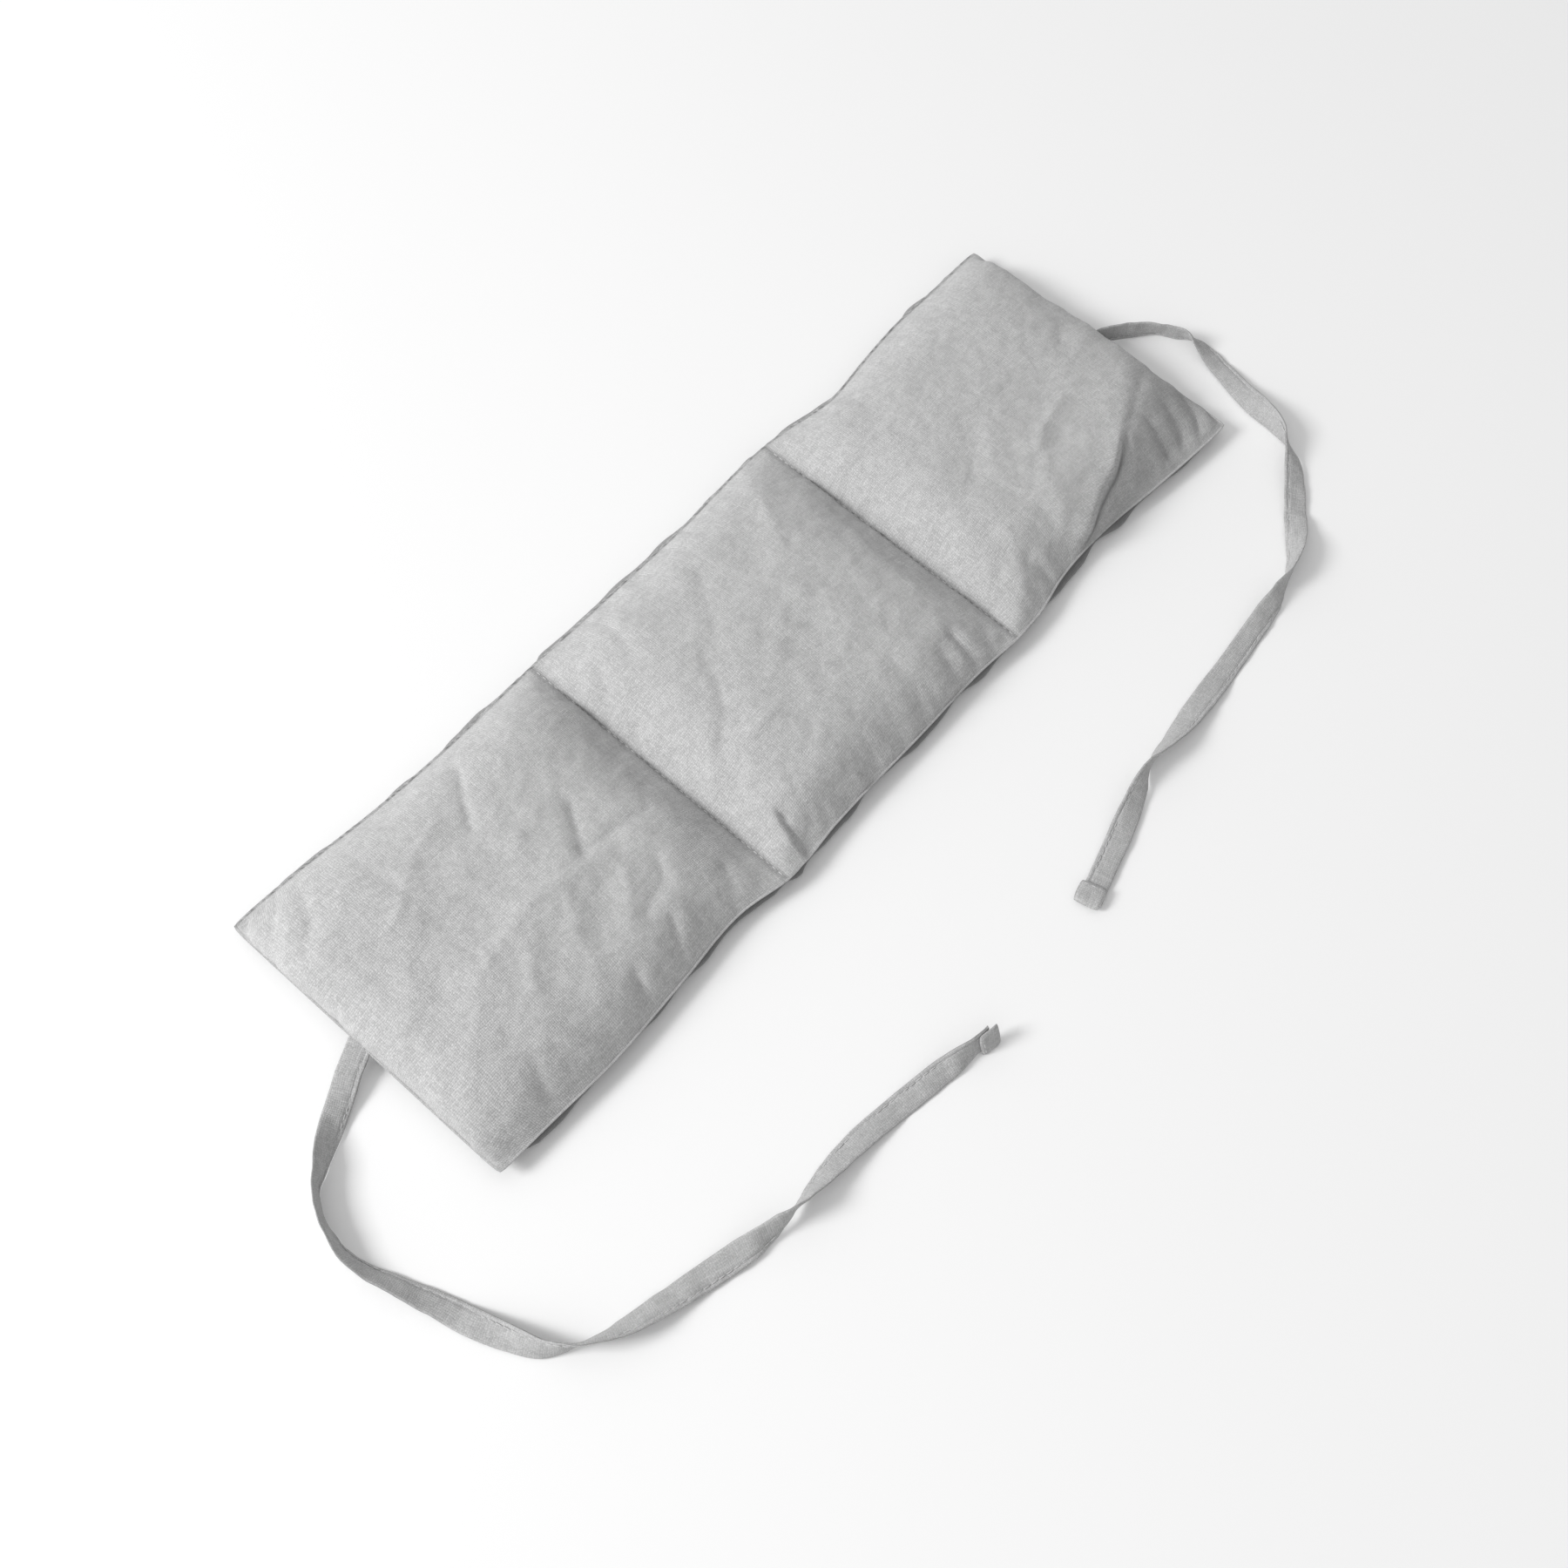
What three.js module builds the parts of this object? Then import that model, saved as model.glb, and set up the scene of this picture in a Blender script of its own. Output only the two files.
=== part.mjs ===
// A tie-on grain pad: three flat chambers in a row, sewn off from each other by two
// channels, with a narrow cloth tie out of the middle of each short end.
//
// Millimetres, +Z up. The pad lies flat on Z = 0 along X: the "near" end is at -X and the
// "far" end at +X. Left is +Y and right is -Y. The origin is under the middle of the pad.
import * as THREE from 'three';

// ---- Driving dimensions ------------------------------------------------------------------
const PAD_LENGTH = 416;
const PAD_WIDTH = 130;
const NEAR_CHANNEL_X = -62.5;
const FAR_CHANNEL_X = 72.5;

const SEAM_HEIGHT = 6; // the height where the top and the bottom cloth meet
const TOP_RISE = 16; // how far the top cloth crowns above that height
const CLOTH = 0.75; // one layer of cloth
const LAYER_GAP = 0.3; // clear space between two pieces that touch
const EDGE_FLAT = 3; // width of the flat sewn edge round the pad
const CHANNEL_CLEARANCE = 1.2; // from a channel's centre line to each chamber beside it

const TOP_SLOPE_LENGTH = 44; // distance over which the top cloth climbs to its crown
const BOTTOM_SLOPE_LENGTH = 14.8; // distance over which the bottom cloth drops to the surface

const STITCH_WIDTH = 0.6;
const STITCH_HEIGHT = 0.4;
const EDGE_STITCH_INSET = 1.6; // from the pad's edge to the row of stitching
const CHANNEL_STITCH_RADIUS = 0.8;

const TIE_WIDTH = 9.2;
const TIE_THICKNESS = 0.9;
const TIE_STITCH_INSET = 1.6; // from the tie's edge to its row of stitching
const TIE_TIP_LENGTH = 8; // the straight stretch beyond the route's last point
const TIE_FOLD_LENGTH = 6.5; // how much of it is covered by the turned-back end
const TIE_TIP_STITCH_INSET = 1; // from the turned-back cloth's edges to its row of stitching
const TIE_STEPS_PER_POINT = 2;

// Each tie's route from the pad's seam to its straight tip: x, y, lift and roll. Roll is the turn of
// the tape about its own length in degrees: 0 lies flat and 90 stands on its edge. Lift
// is the clear height under the tape's lowest corner.
const NEAR_TIE_ROUTE = [
  [-209.8, 1.5, 5.4, 0],
  [-214, 0.5, 4.8, 0],
  [-222, -4, 2.5, -8],
  [-232, -9.5, 0.5, -25],
  [-243, -16.5, 0, -62],
  [-250.5, -24, 0, -85],
  [-256, -33, 0, -80],
  [-258.5, -47, 0, -62],
  [-255, -63, 0, -40],
  [-250, -78, 0, -15],
  [-246, -92, 0, 10],
  [-242, -104, 0, 35],
  [-237, -115, 0, 60],
  [-228.5, -123, 1, 100],
  [-215, -129.5, 0, 135],
  [-202, -133.5, 0, 160],
  [-187, -137.5, 0, 180],
  [-174, -141, 0, 195],
  [-162, -144, 0, 225],
  [-150, -145.5, 2, 270],
  [-137, -145.5, 0, 315],
  [-125, -145.5, 0, 335],
  [-113, -146.5, 0, 350],
  [-99, -148.5, 0, 360],
  [-85, -151, 0, 375],
  [-75, -153, 0, 395],
  [-66, -154.7, 0, 425],
];
const FAR_TIE_ROUTE = [
  [209.8, -1, 5.4, 0],
  [213, -2, 4.2, -25],
  [218, -5, 1.5, -60],
  [224.5, -9.5, 0.3, -75],
  [231.5, -16.5, 0, -80],
  [236.5, -25, 0, -78],
  [238.5, -34, 0, -35],
  [236.5, -46, 0, 0],
  [232.5, -59, 0, 15],
  [229, -70, 0, 45],
  [226.5, -80, 0, 75],
  [223, -88, 0, 105],
  [217, -96, 0, 145],
  [208, -103.5, 0, 165],
  [198, -111, 0, 180],
  [186, -119, 0, 220],
  [173, -125.5, 0, 260],
  [161.5, -128, 0, 300],
  [150, -129.5, 0, 330],
  [139, -130.5, 0, 350],
  [118, -132.5, 0, 360],
  [97, -134, 0, 375],
  [80, -135, 0, 405],
  [69, -135, 0, 435],
  [61, -136, 0, 475],
  [50, -139.5, 0, 510],
  [33, -144.5, 0, 535],
  [15, -149.3, 0, 540],
];

// ---- Materials ---------------------------------------------------------------------------
const makeCloth = () =>
  new THREE.MeshStandardMaterial({ color: 0xb9b9b9, roughness: 0.92, metalness: 0 });
const makeThread = () =>
  new THREE.MeshStandardMaterial({ color: 0xc4c4c4, roughness: 0.8, metalness: 0 });
const makeGrain = () =>
  new THREE.MeshStandardMaterial({ color: 0xa98c62, roughness: 0.85, metalness: 0 });

const pad = new THREE.Group();

function addNode(name, geometry, material) {
  const mesh = new THREE.Mesh(geometry, material);
  mesh.name = name;
  pad.add(mesh);
  return mesh;
}

// ---- Closed slabs on a grid --------------------------------------------------------------
// A slab between two height fields over the same grid of x and y lines, closed round its rim.
function slabGeometry(xLines, yLines, topHeight, bottomHeight) {
  const columns = xLines.length;
  const rows = yLines.length;
  const positions = [];
  for (const height of [topHeight, bottomHeight]) {
    for (const y of yLines) {
      for (const x of xLines) {
        positions.push(x, y, height(x, y));
      }
    }
  }
  const index = [];
  const under = columns * rows;
  const at = (i, j) => j * columns + i;
  for (let j = 0; j < rows - 1; j++) {
    for (let i = 0; i < columns - 1; i++) {
      const a = at(i, j);
      const b = at(i + 1, j);
      const c = at(i + 1, j + 1);
      const d = at(i, j + 1);
      index.push(a, b, c, a, c, d);
      index.push(under + a, under + c, under + b, under + a, under + d, under + c);
    }
  }
  const rim = [];
  for (let i = 0; i < columns - 1; i++) rim.push(at(i, 0));
  for (let j = 0; j < rows - 1; j++) rim.push(at(columns - 1, j));
  for (let i = columns - 1; i > 0; i--) rim.push(at(i, rows - 1));
  for (let j = rows - 1; j > 0; j--) rim.push(at(0, j));
  rim.forEach((a, k) => {
    const b = rim[(k + 1) % rim.length];
    index.push(a, under + a, under + b, a, under + b, b);
  });
  const geometry = new THREE.BufferGeometry();
  geometry.setAttribute('position', new THREE.Float32BufferAttribute(positions, 3));
  geometry.setIndex(index);
  geometry.computeVertexNormals();
  return geometry;
}

// ---- Chambers ----------------------------------------------------------------------------
// A chamber's side in x is either a channel, where the cloths meet at the fold, or the
// pad's own end, which has the flat sewn edge.
const CHANNEL_STEPS = [CHANNEL_CLEARANCE, 4, 9, 16, 26, 40];
const EDGE_STEPS = [0, EDGE_FLAT, 6, 11, 18, 28, 42];

const chambers = [
  { name: 'near', low: -PAD_LENGTH / 2, high: NEAR_CHANNEL_X, lowIsEnd: true, highIsEnd: false },
  { name: 'middle', low: NEAR_CHANNEL_X, high: FAR_CHANNEL_X, lowIsEnd: false, highIsEnd: false },
  { name: 'far', low: FAR_CHANNEL_X, high: PAD_LENGTH / 2, lowIsEnd: false, highIsEnd: true },
];

const stepsFor = (isEnd) => (isEnd ? EDGE_STEPS : CHANNEL_STEPS);
const flatFor = (isEnd) => (isEnd ? EDGE_FLAT : CHANNEL_CLEARANCE);

function gridLines(low, high, lowSteps, highSteps) {
  const rising = lowSteps.map((step) => low + step);
  const falling = highSteps.map((step) => high - step).reverse();
  return [...rising, (low + high) / 2, ...falling];
}

// 0 at the side where the swell starts, 1 once it has fully risen.
function swell(distance, length) {
  const t = Math.min(Math.max(distance / length, 0), 1);
  return 1 - (1 - t) * (1 - t);
}

function chamberSwell(chamber, x, y, length) {
  const fromLow = x - chamber.low - flatFor(chamber.lowIsEnd);
  const fromHigh = chamber.high - x - flatFor(chamber.highIsEnd);
  const fromSide = PAD_WIDTH / 2 - Math.abs(y) - EDGE_FLAT;
  return swell(fromLow, length) * swell(fromHigh, length) * swell(fromSide, length);
}

function buildChamber(chamber) {
  const xLines = gridLines(
    chamber.low,
    chamber.high,
    stepsFor(chamber.lowIsEnd),
    stepsFor(chamber.highIsEnd),
  );
  const yLines = gridLines(-PAD_WIDTH / 2, PAD_WIDTH / 2, EDGE_STEPS, EDGE_STEPS);

  const topInside = (x, y) =>
    SEAM_HEIGHT + LAYER_GAP / 2 + TOP_RISE * chamberSwell(chamber, x, y, TOP_SLOPE_LENGTH);
  const topOutside = (x, y) => topInside(x, y) + CLOTH;
  const drop = SEAM_HEIGHT - LAYER_GAP / 2 - CLOTH;
  const bottomInside = (x, y) =>
    SEAM_HEIGHT - LAYER_GAP / 2 - drop * chamberSwell(chamber, x, y, BOTTOM_SLOPE_LENGTH);
  const bottomOutside = (x, y) => bottomInside(x, y) - CLOTH;

  addNode(`${chamber.name}_top_panel`, slabGeometry(xLines, yLines, topOutside, topInside), makeCloth());
  addNode(
    `${chamber.name}_bottom_panel`,
    slabGeometry(xLines, yLines, bottomInside, bottomOutside),
    makeCloth(),
  );

  const fillX = xLines.filter((x) => {
    const fromEnd = Math.min(x - chamber.low, chamber.high - x);
    return fromEnd > EDGE_FLAT;
  });
  const fillY = yLines.filter((y) => Math.abs(y) < PAD_WIDTH / 2 - EDGE_FLAT);
  addNode(
    `${chamber.name}_grain_fill`,
    slabGeometry(
      fillX,
      fillY,
      (x, y) => topInside(x, y) - LAYER_GAP,
      (x, y) => bottomInside(x, y) + LAYER_GAP,
    ),
    makeGrain(),
  );
}

chambers.forEach(buildChamber);

// ---- Stitching of the pad ----------------------------------------------------------------
const STITCH_BASE = SEAM_HEIGHT + LAYER_GAP / 2 + CLOTH + LAYER_GAP;
const STITCH_END_CLEARANCE = 3.5; // from a channel's centre line to the end of an edge row
const stitchY = PAD_WIDTH / 2 - EDGE_STITCH_INSET;

function stitchBar(x0, x1, y) {
  const bar = new THREE.BoxGeometry(x1 - x0, STITCH_WIDTH, STITCH_HEIGHT);
  bar.translate((x0 + x1) / 2, y, STITCH_BASE + STITCH_HEIGHT / 2);
  return bar;
}

// The row round an end chamber runs along one side, across the short end and back.
function endStitch(side) {
  const half = STITCH_WIDTH / 2;
  const endX = PAD_LENGTH / 2 - EDGE_STITCH_INSET;
  const channelX = (side > 0 ? FAR_CHANNEL_X : -NEAR_CHANNEL_X) + STITCH_END_CLEARANCE;
  const outline = [
    [channelX, -stitchY - half],
    [endX + half, -stitchY - half],
    [endX + half, stitchY + half],
    [channelX, stitchY + half],
    [channelX, stitchY - half],
    [endX - half, stitchY - half],
    [endX - half, -stitchY + half],
    [channelX, -stitchY + half],
  ];
  const shape = new THREE.Shape(outline.map(([x, y]) => new THREE.Vector2(x, y)));
  const row = new THREE.ExtrudeGeometry(shape, { depth: STITCH_HEIGHT, bevelEnabled: false });
  row.translate(0, 0, STITCH_BASE);
  if (side < 0) row.rotateZ(Math.PI);
  return row;
}

addNode('near_edge_stitch', endStitch(-1), makeThread());
addNode('far_edge_stitch', endStitch(1), makeThread());
for (const [name, y] of [['left', stitchY], ['right', -stitchY]]) {
  const bar = stitchBar(
    NEAR_CHANNEL_X + STITCH_END_CLEARANCE,
    FAR_CHANNEL_X - STITCH_END_CLEARANCE,
    y,
  );
  addNode(`middle_${name}_edge_stitch`, bar, makeThread());
}

// Each channel's row lies along the fold line itself, so both chambers swing round it.
const CHANNEL_STITCH_SIDES = 8;
for (const [name, x] of [['near', NEAR_CHANNEL_X], ['far', FAR_CHANNEL_X]]) {
  const row = new THREE.CylinderGeometry(
    CHANNEL_STITCH_RADIUS,
    CHANNEL_STITCH_RADIUS,
    PAD_WIDTH - 2 * EDGE_STITCH_INSET,
    CHANNEL_STITCH_SIDES,
  );
  row.translate(x, 0, SEAM_HEIGHT);
  addNode(`${name}_channel_stitch`, row, makeThread());
}

// ---- Ties --------------------------------------------------------------------------------
// The route as a smooth run of stations, each with its centre and the tape's own axes.
function tieStations(route) {
  const plan = new THREE.CatmullRomCurve3(
    route.map(([x, y]) => new THREE.Vector3(x, y, 0)),
    false,
    'catmullrom',
  );
  const pose = new THREE.CatmullRomCurve3(
    route.map(([, , lift, roll]) => new THREE.Vector3(lift, roll, 0)),
    false,
    'catmullrom',
  );
  const count = (route.length - 1) * TIE_STEPS_PER_POINT;
  const stations = [];
  for (let k = 0; k <= count; k++) {
    const t = k / count;
    const centre = plan.getPoint(t);
    const along = plan.getTangent(t);
    const { x: lift, y: rollDegrees } = pose.getPoint(t);
    const roll = THREE.MathUtils.degToRad(rollDegrees);
    const level = new THREE.Vector3(-along.y, along.x, 0);
    const across = level.clone().multiplyScalar(Math.cos(roll));
    across.z = Math.sin(roll);
    const face = new THREE.Vector3().crossVectors(along, across).normalize();
    const halfHeight =
      (TIE_WIDTH / 2) * Math.abs(Math.sin(roll)) + (TIE_THICKNESS / 2) * Math.abs(Math.cos(roll));
    // Where the stitched face turns down, the tape is held up by its row of stitching.
    const faceDown = Math.max(-Math.cos(roll), 0) * (LAYER_GAP + STITCH_HEIGHT);
    centre.z = halfHeight + faceDown + Math.max(lift, 0) + LAYER_GAP / 2;
    stations.push({ centre, across, face });
  }
  const { centre, across, face } = stations[count];
  const tip = centre.clone().addScaledVector(plan.getTangent(1), TIE_TIP_LENGTH);
  stations.push({ centre: tip, across, face });
  return stations;
}

// A closed strip with a flat rectangular section, swept through stations. Offsets are
// measured from the tape's centre: a list of lines across its width, and two levels out of
// its face.
function stripGeometry(stations, acrossLines, faceLow, faceHigh) {
  const section = [
    ...acrossLines.map((across) => [across, faceLow]),
    ...acrossLines.map((across) => [across, faceHigh]).reverse(),
  ];
  const sides = section.length;
  const positions = [];
  for (const { centre, across, face } of stations) {
    for (const [a, f] of section) {
      const corner = centre.clone().addScaledVector(across, a).addScaledVector(face, f);
      positions.push(corner.x, corner.y, corner.z);
    }
  }
  const index = [];
  for (let k = 0; k < stations.length - 1; k++) {
    for (let c = 0; c < sides; c++) {
      const a = sides * k + c;
      const b = sides * k + ((c + 1) % sides);
      index.push(a, b, b + sides, a, b + sides, a + sides);
    }
  }
  // Each end is closed by pairs of triangles between the two faces.
  const last = sides * (stations.length - 1);
  for (let c = 0; c < acrossLines.length - 1; c++) {
    const low = [c, c + 1];
    const high = [sides - 1 - c, sides - 2 - c];
    index.push(low[0], high[0], high[1], low[0], high[1], low[1]);
    index.push(last + low[0], last + high[1], last + high[0]);
    index.push(last + low[0], last + low[1], last + high[1]);
  }
  const geometry = new THREE.BufferGeometry();
  geometry.setAttribute('position', new THREE.Float32BufferAttribute(positions, 3));
  geometry.setIndex(index);
  geometry.computeVertexNormals();
  return geometry;
}

function buildTie(name, route) {
  const stations = tieStations(route);
  const halfWidth = TIE_WIDTH / 2;
  const halfThickness = TIE_THICKNESS / 2;
  const stitchAcross = halfWidth - TIE_STITCH_INSET;
  const onFace = halfThickness + LAYER_GAP;
  const tapeLines = [
    -halfWidth,
    0,
    stitchAcross - STITCH_WIDTH,
    stitchAcross + STITCH_WIDTH,
    halfWidth,
  ];
  addNode(
    `${name}_tie_tape`,
    stripGeometry(stations, tapeLines, -halfThickness, halfThickness),
    makeCloth(),
  );
  addNode(
    `${name}_tie_edge_stitch`,
    stripGeometry(
      stations.slice(1, -2),
      [stitchAcross - STITCH_WIDTH / 2, stitchAcross + STITCH_WIDTH / 2],
      onFace,
      onFace + STITCH_HEIGHT,
    ),
    makeThread(),
  );

  // The turned-back end lies on whichever face is up at the tip, with its own row on top.
  const tip = stations[stations.length - 1];
  const before = stations[stations.length - 2];
  const back = before.centre.clone().sub(tip.centre).normalize();
  const upward = Math.sign(tip.face.z);
  const stationBack = (distance) => ({
    centre: tip.centre.clone().addScaledVector(back, distance),
    across: tip.across.clone().multiplyScalar(upward),
    face: tip.face.clone().multiplyScalar(upward),
  });
  const foldTop = onFace + TIE_THICKNESS;
  const rowBack = TIE_FOLD_LENGTH - TIE_TIP_STITCH_INSET;
  addNode(
    `${name}_tie_tip_fold`,
    stripGeometry(
      [stationBack(TIE_FOLD_LENGTH), stationBack(0)],
      [-halfWidth, halfWidth],
      onFace,
      foldTop,
    ),
    makeCloth(),
  );
  addNode(
    `${name}_tie_tip_stitch`,
    stripGeometry(
      [stationBack(rowBack), stationBack(rowBack - STITCH_WIDTH)],
      [-halfWidth + TIE_TIP_STITCH_INSET, halfWidth - TIE_TIP_STITCH_INSET],
      foldTop + LAYER_GAP,
      foldTop + LAYER_GAP + STITCH_HEIGHT,
    ),
    makeThread(),
  );
}

buildTie('near', NEAR_TIE_ROUTE);
buildTie('far', FAR_TIE_ROUTE);

export default pad;
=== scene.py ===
# %% [markdown]
# # A tie-on grain pad
#
# The pad is two layers of light grey linen sewn together round the edge and across in two
# places, so that it makes three chambers for loose grain. A narrow tie comes out of the
# middle of each short end. This script dresses the imported frame: it sews and fills the
# cloth by simulation, sets the stitches one by one, and twists the two ties along their routes.

# %% Load the frame
import math

import bpy
import numpy as np
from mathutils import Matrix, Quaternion, Vector


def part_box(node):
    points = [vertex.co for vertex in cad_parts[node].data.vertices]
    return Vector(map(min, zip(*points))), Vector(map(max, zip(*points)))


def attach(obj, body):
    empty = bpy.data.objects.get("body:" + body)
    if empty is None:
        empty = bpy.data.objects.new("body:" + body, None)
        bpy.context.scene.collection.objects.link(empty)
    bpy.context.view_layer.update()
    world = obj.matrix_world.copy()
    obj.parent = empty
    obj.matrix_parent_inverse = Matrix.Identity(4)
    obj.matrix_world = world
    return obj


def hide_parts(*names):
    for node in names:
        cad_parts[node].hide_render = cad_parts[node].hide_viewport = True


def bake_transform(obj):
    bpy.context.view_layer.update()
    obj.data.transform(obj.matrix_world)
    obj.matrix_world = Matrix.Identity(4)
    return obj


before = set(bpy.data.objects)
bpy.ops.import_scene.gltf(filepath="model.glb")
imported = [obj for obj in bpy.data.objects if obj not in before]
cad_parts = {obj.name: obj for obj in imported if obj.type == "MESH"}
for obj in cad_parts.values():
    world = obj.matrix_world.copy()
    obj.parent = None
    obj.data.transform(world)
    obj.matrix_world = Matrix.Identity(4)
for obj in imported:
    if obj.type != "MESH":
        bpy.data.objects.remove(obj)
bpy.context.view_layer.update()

MM = 0.001

# %% [markdown]
# ## Where things are
#
# Every place below comes from the frame's own nodes: the pad's ends and sides from the top
# panels, and the two fold lines from the rows of stitching that lie on them. A flat cloth
# has no thickness worth the name, so the fold lines also give the height of the seams.

# %% Sizes read from the frame
near_low, near_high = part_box("near_top_panel")
PAD_START = near_low.x
PAD_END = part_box("far_top_panel")[1].x
HALF_WIDTH = near_high.y
CROWN = near_high.z


def middle_of(node):
    """The centre of a CAD node's box."""
    low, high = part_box(node)
    return (low + high) / 2


NEAR_CHANNEL = middle_of("near_channel_stitch").x
FAR_CHANNEL = middle_of("far_channel_stitch").x
SEAM_HEIGHT = middle_of("near_channel_stitch").z
FLOOR_GAP = 0.25 * MM  # the cloth's underside stands this far off the surface
print(f"pad {PAD_START / MM:.0f} to {PAD_END / MM:.0f} mm, folds at "
      f"{NEAR_CHANNEL / MM:.1f} and {FAR_CHANNEL / MM:.1f} mm")

# %% [markdown]
# ## Camera
#
# The camera stands above the near right corner and looks down along the pad, with a slight
# roll. It is placed by its own position and three angles, which is easier to read than a
# matrix: the compass direction it looks in, how far down it looks, and the roll.

# %% Camera
CAMERA_PLACE = Vector((-287, -215, 641)) * MM
CAMERA_AZIMUTH = math.radians(34.7)
CAMERA_DIP = math.radians(64.2)
CAMERA_ROLL = math.radians(7.1)
CAMERA_LENS = 44.2  # millimetres, on a sensor 36 mm wide

look = Vector((
    math.cos(CAMERA_AZIMUTH) * math.cos(CAMERA_DIP),
    math.sin(CAMERA_AZIMUTH) * math.cos(CAMERA_DIP),
    -math.sin(CAMERA_DIP),
))
camera = bpy.data.objects.new("camera", bpy.data.cameras.new("camera"))
bpy.context.scene.collection.objects.link(camera)
camera.data.sensor_width = 36
camera.data.lens = CAMERA_LENS
camera.rotation_mode = "QUATERNION"
roll = Quaternion((0, 0, 1), CAMERA_ROLL)
camera.rotation_quaternion = look.to_track_quat("-Z", "Y") @ roll
camera.location = CAMERA_PLACE
bpy.context.scene.camera = camera
print("camera at", [round(value / MM) for value in CAMERA_PLACE], "mm")

# %% [markdown]
# ## Light and floor
#
# Cloth shows its weave and its creases only when the light rakes across it. One large soft
# lamp stands low beyond the near left corner and does that work, and an even pale sky
# fills the shadows. The floor is a plain pale plane that only catches the soft shadow.

# %% Light and floor
KEY_DIRECTION = Vector((-0.86, 0.60, 0.72)).normalized()
KEY_DISTANCE = 2.4
KEY_SIZE = 0.75
KEY_POWER = 41.5
SKY_MEAN = 0.515
SKY_LEAN = 0.30  # how much brighter the sky is towards the lamp


def add_lamp(name, direction, distance, size, power):
    """A square soft lamp that points at the pad."""
    lamp = bpy.data.lights.new(name, "AREA")
    lamp.size = size
    lamp.energy = power
    holder = bpy.data.objects.new(name, lamp)
    bpy.context.scene.collection.objects.link(holder)
    holder.location = direction * distance
    holder.rotation_mode = "QUATERNION"
    holder.rotation_quaternion = (-direction).to_track_quat("-Z", "Y")
    return holder


add_lamp("key_lamp", KEY_DIRECTION, KEY_DISTANCE, KEY_SIZE, KEY_POWER)
world = bpy.data.worlds.new("studio")
bpy.context.scene.world = world
world.use_nodes = True
sky = world.node_tree
sky.nodes["Background"].inputs["Color"].default_value = (1, 1, 1, 1)
towards = sky.nodes.new("ShaderNodeVectorMath")
towards.operation = "DOT_PRODUCT"
towards.inputs[1].default_value = KEY_DIRECTION
lean = sky.nodes.new("ShaderNodeMath")
lean.operation = "MULTIPLY_ADD"
lean.inputs[1].default_value = SKY_LEAN
lean.inputs[2].default_value = SKY_MEAN
sky.links.new(sky.nodes.new("ShaderNodeTexCoord").outputs["Generated"], towards.inputs[0])
sky.links.new(towards.outputs["Value"], lean.inputs[0])
sky.links.new(lean.outputs[0], sky.nodes["Background"].inputs["Strength"])

bpy.context.scene.view_settings.view_transform = "Standard"

FLOOR_REACH = 12.0
FLOOR_GREY = 0.92
FLOOR_ROUGHNESS = 0.9
corners = [(-1, -1), (1, -1), (1, 1), (-1, 1)]
floor_mesh = bpy.data.meshes.new("floor")
floor_points = [(x * FLOOR_REACH, y * FLOOR_REACH, 0) for x, y in corners]
floor_mesh.from_pydata(floor_points, [], [(0, 1, 2, 3)])
floor = bpy.data.objects.new("floor", floor_mesh)
bpy.context.scene.collection.objects.link(floor)
paint = bpy.data.materials.new("floor_paint")
paint.use_nodes = True
paint_shader = paint.node_tree.nodes["Principled BSDF"]
paint_shader.inputs["Base Color"].default_value = (FLOOR_GREY, FLOOR_GREY, FLOOR_GREY, 1)
paint_shader.inputs["Roughness"].default_value = FLOOR_ROUGHNESS
floor_mesh.materials.append(paint)
print("lit by one soft lamp and a pale sky")

# %% [markdown]
# ## The plain weave, as a node group
#
# Linen is a plain weave: each thread goes over one and under the next, and each thread has
# its own thickness, with slubs where the yarn was spun thick. One group makes all of it
# from flat cloth coordinates in metres, so that the weave follows the cloth round every
# fold. It puts out a height for bumps and a tone for colour. The tone varies from thread
# to thread, which is what makes linen look like linen from further off.

# %% Small helpers for node trees
def add_socket(group, name, kind, direction, default=None):
    socket = group.interface.new_socket(name=name, in_out=direction, socket_type=kind)
    if default is not None:
        socket.default_value = default
    return socket


def math_node(tree, operation, first, second=None, third=None):
    """A Math node whose inputs are sockets or plain numbers."""
    node = tree.nodes.new("ShaderNodeMath")
    node.operation = operation
    for place, value in enumerate((first, second, third)):
        if value is None:
            continue
        if isinstance(value, (int, float)):
            node.inputs[place].default_value = value
        else:
            tree.links.new(value, node.inputs[place])
    return node.outputs[0]


def noise_node(tree, vector, scale, detail=2.0, roughness=0.5):
    node = tree.nodes.new("ShaderNodeTexNoise")
    node.inputs["Scale"].default_value = scale
    node.inputs["Detail"].default_value = detail
    node.inputs["Roughness"].default_value = roughness
    tree.links.new(vector, node.inputs["Vector"])
    return node.outputs["Fac"]


def combine_node(tree, x, y, z=0.0):
    node = tree.nodes.new("ShaderNodeCombineXYZ")
    for place, value in enumerate((x, y, z)):
        if isinstance(value, (int, float)):
            node.inputs[place].default_value = value
        else:
            tree.links.new(value, node.inputs[place])
    return node.outputs[0]


# %% The weave group
WANDER_SCALE, WANDER_SIZE = 90.0, 2.6  # how finely the threads wander, and how many threads
JITTER_SCALE, JITTER_SIZE = 420.0, 1.3  # and a quicker, smaller wander on top
TONE_LENGTH = 0.16  # how fast a thread's tone changes along it
SLUB_STRETCH = 0.06  # a slub is long and thin
SLUB_SCALE = 0.45
SLUB_FROM, SLUB_GAIN = 0.70, 5.0  # only noise above the first counts
SLUB_LIFT = 0.25
FLECK_SCALE, FLECK_SIZE = 1500.0, 0.9  # fine flecks of loose fibre


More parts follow.
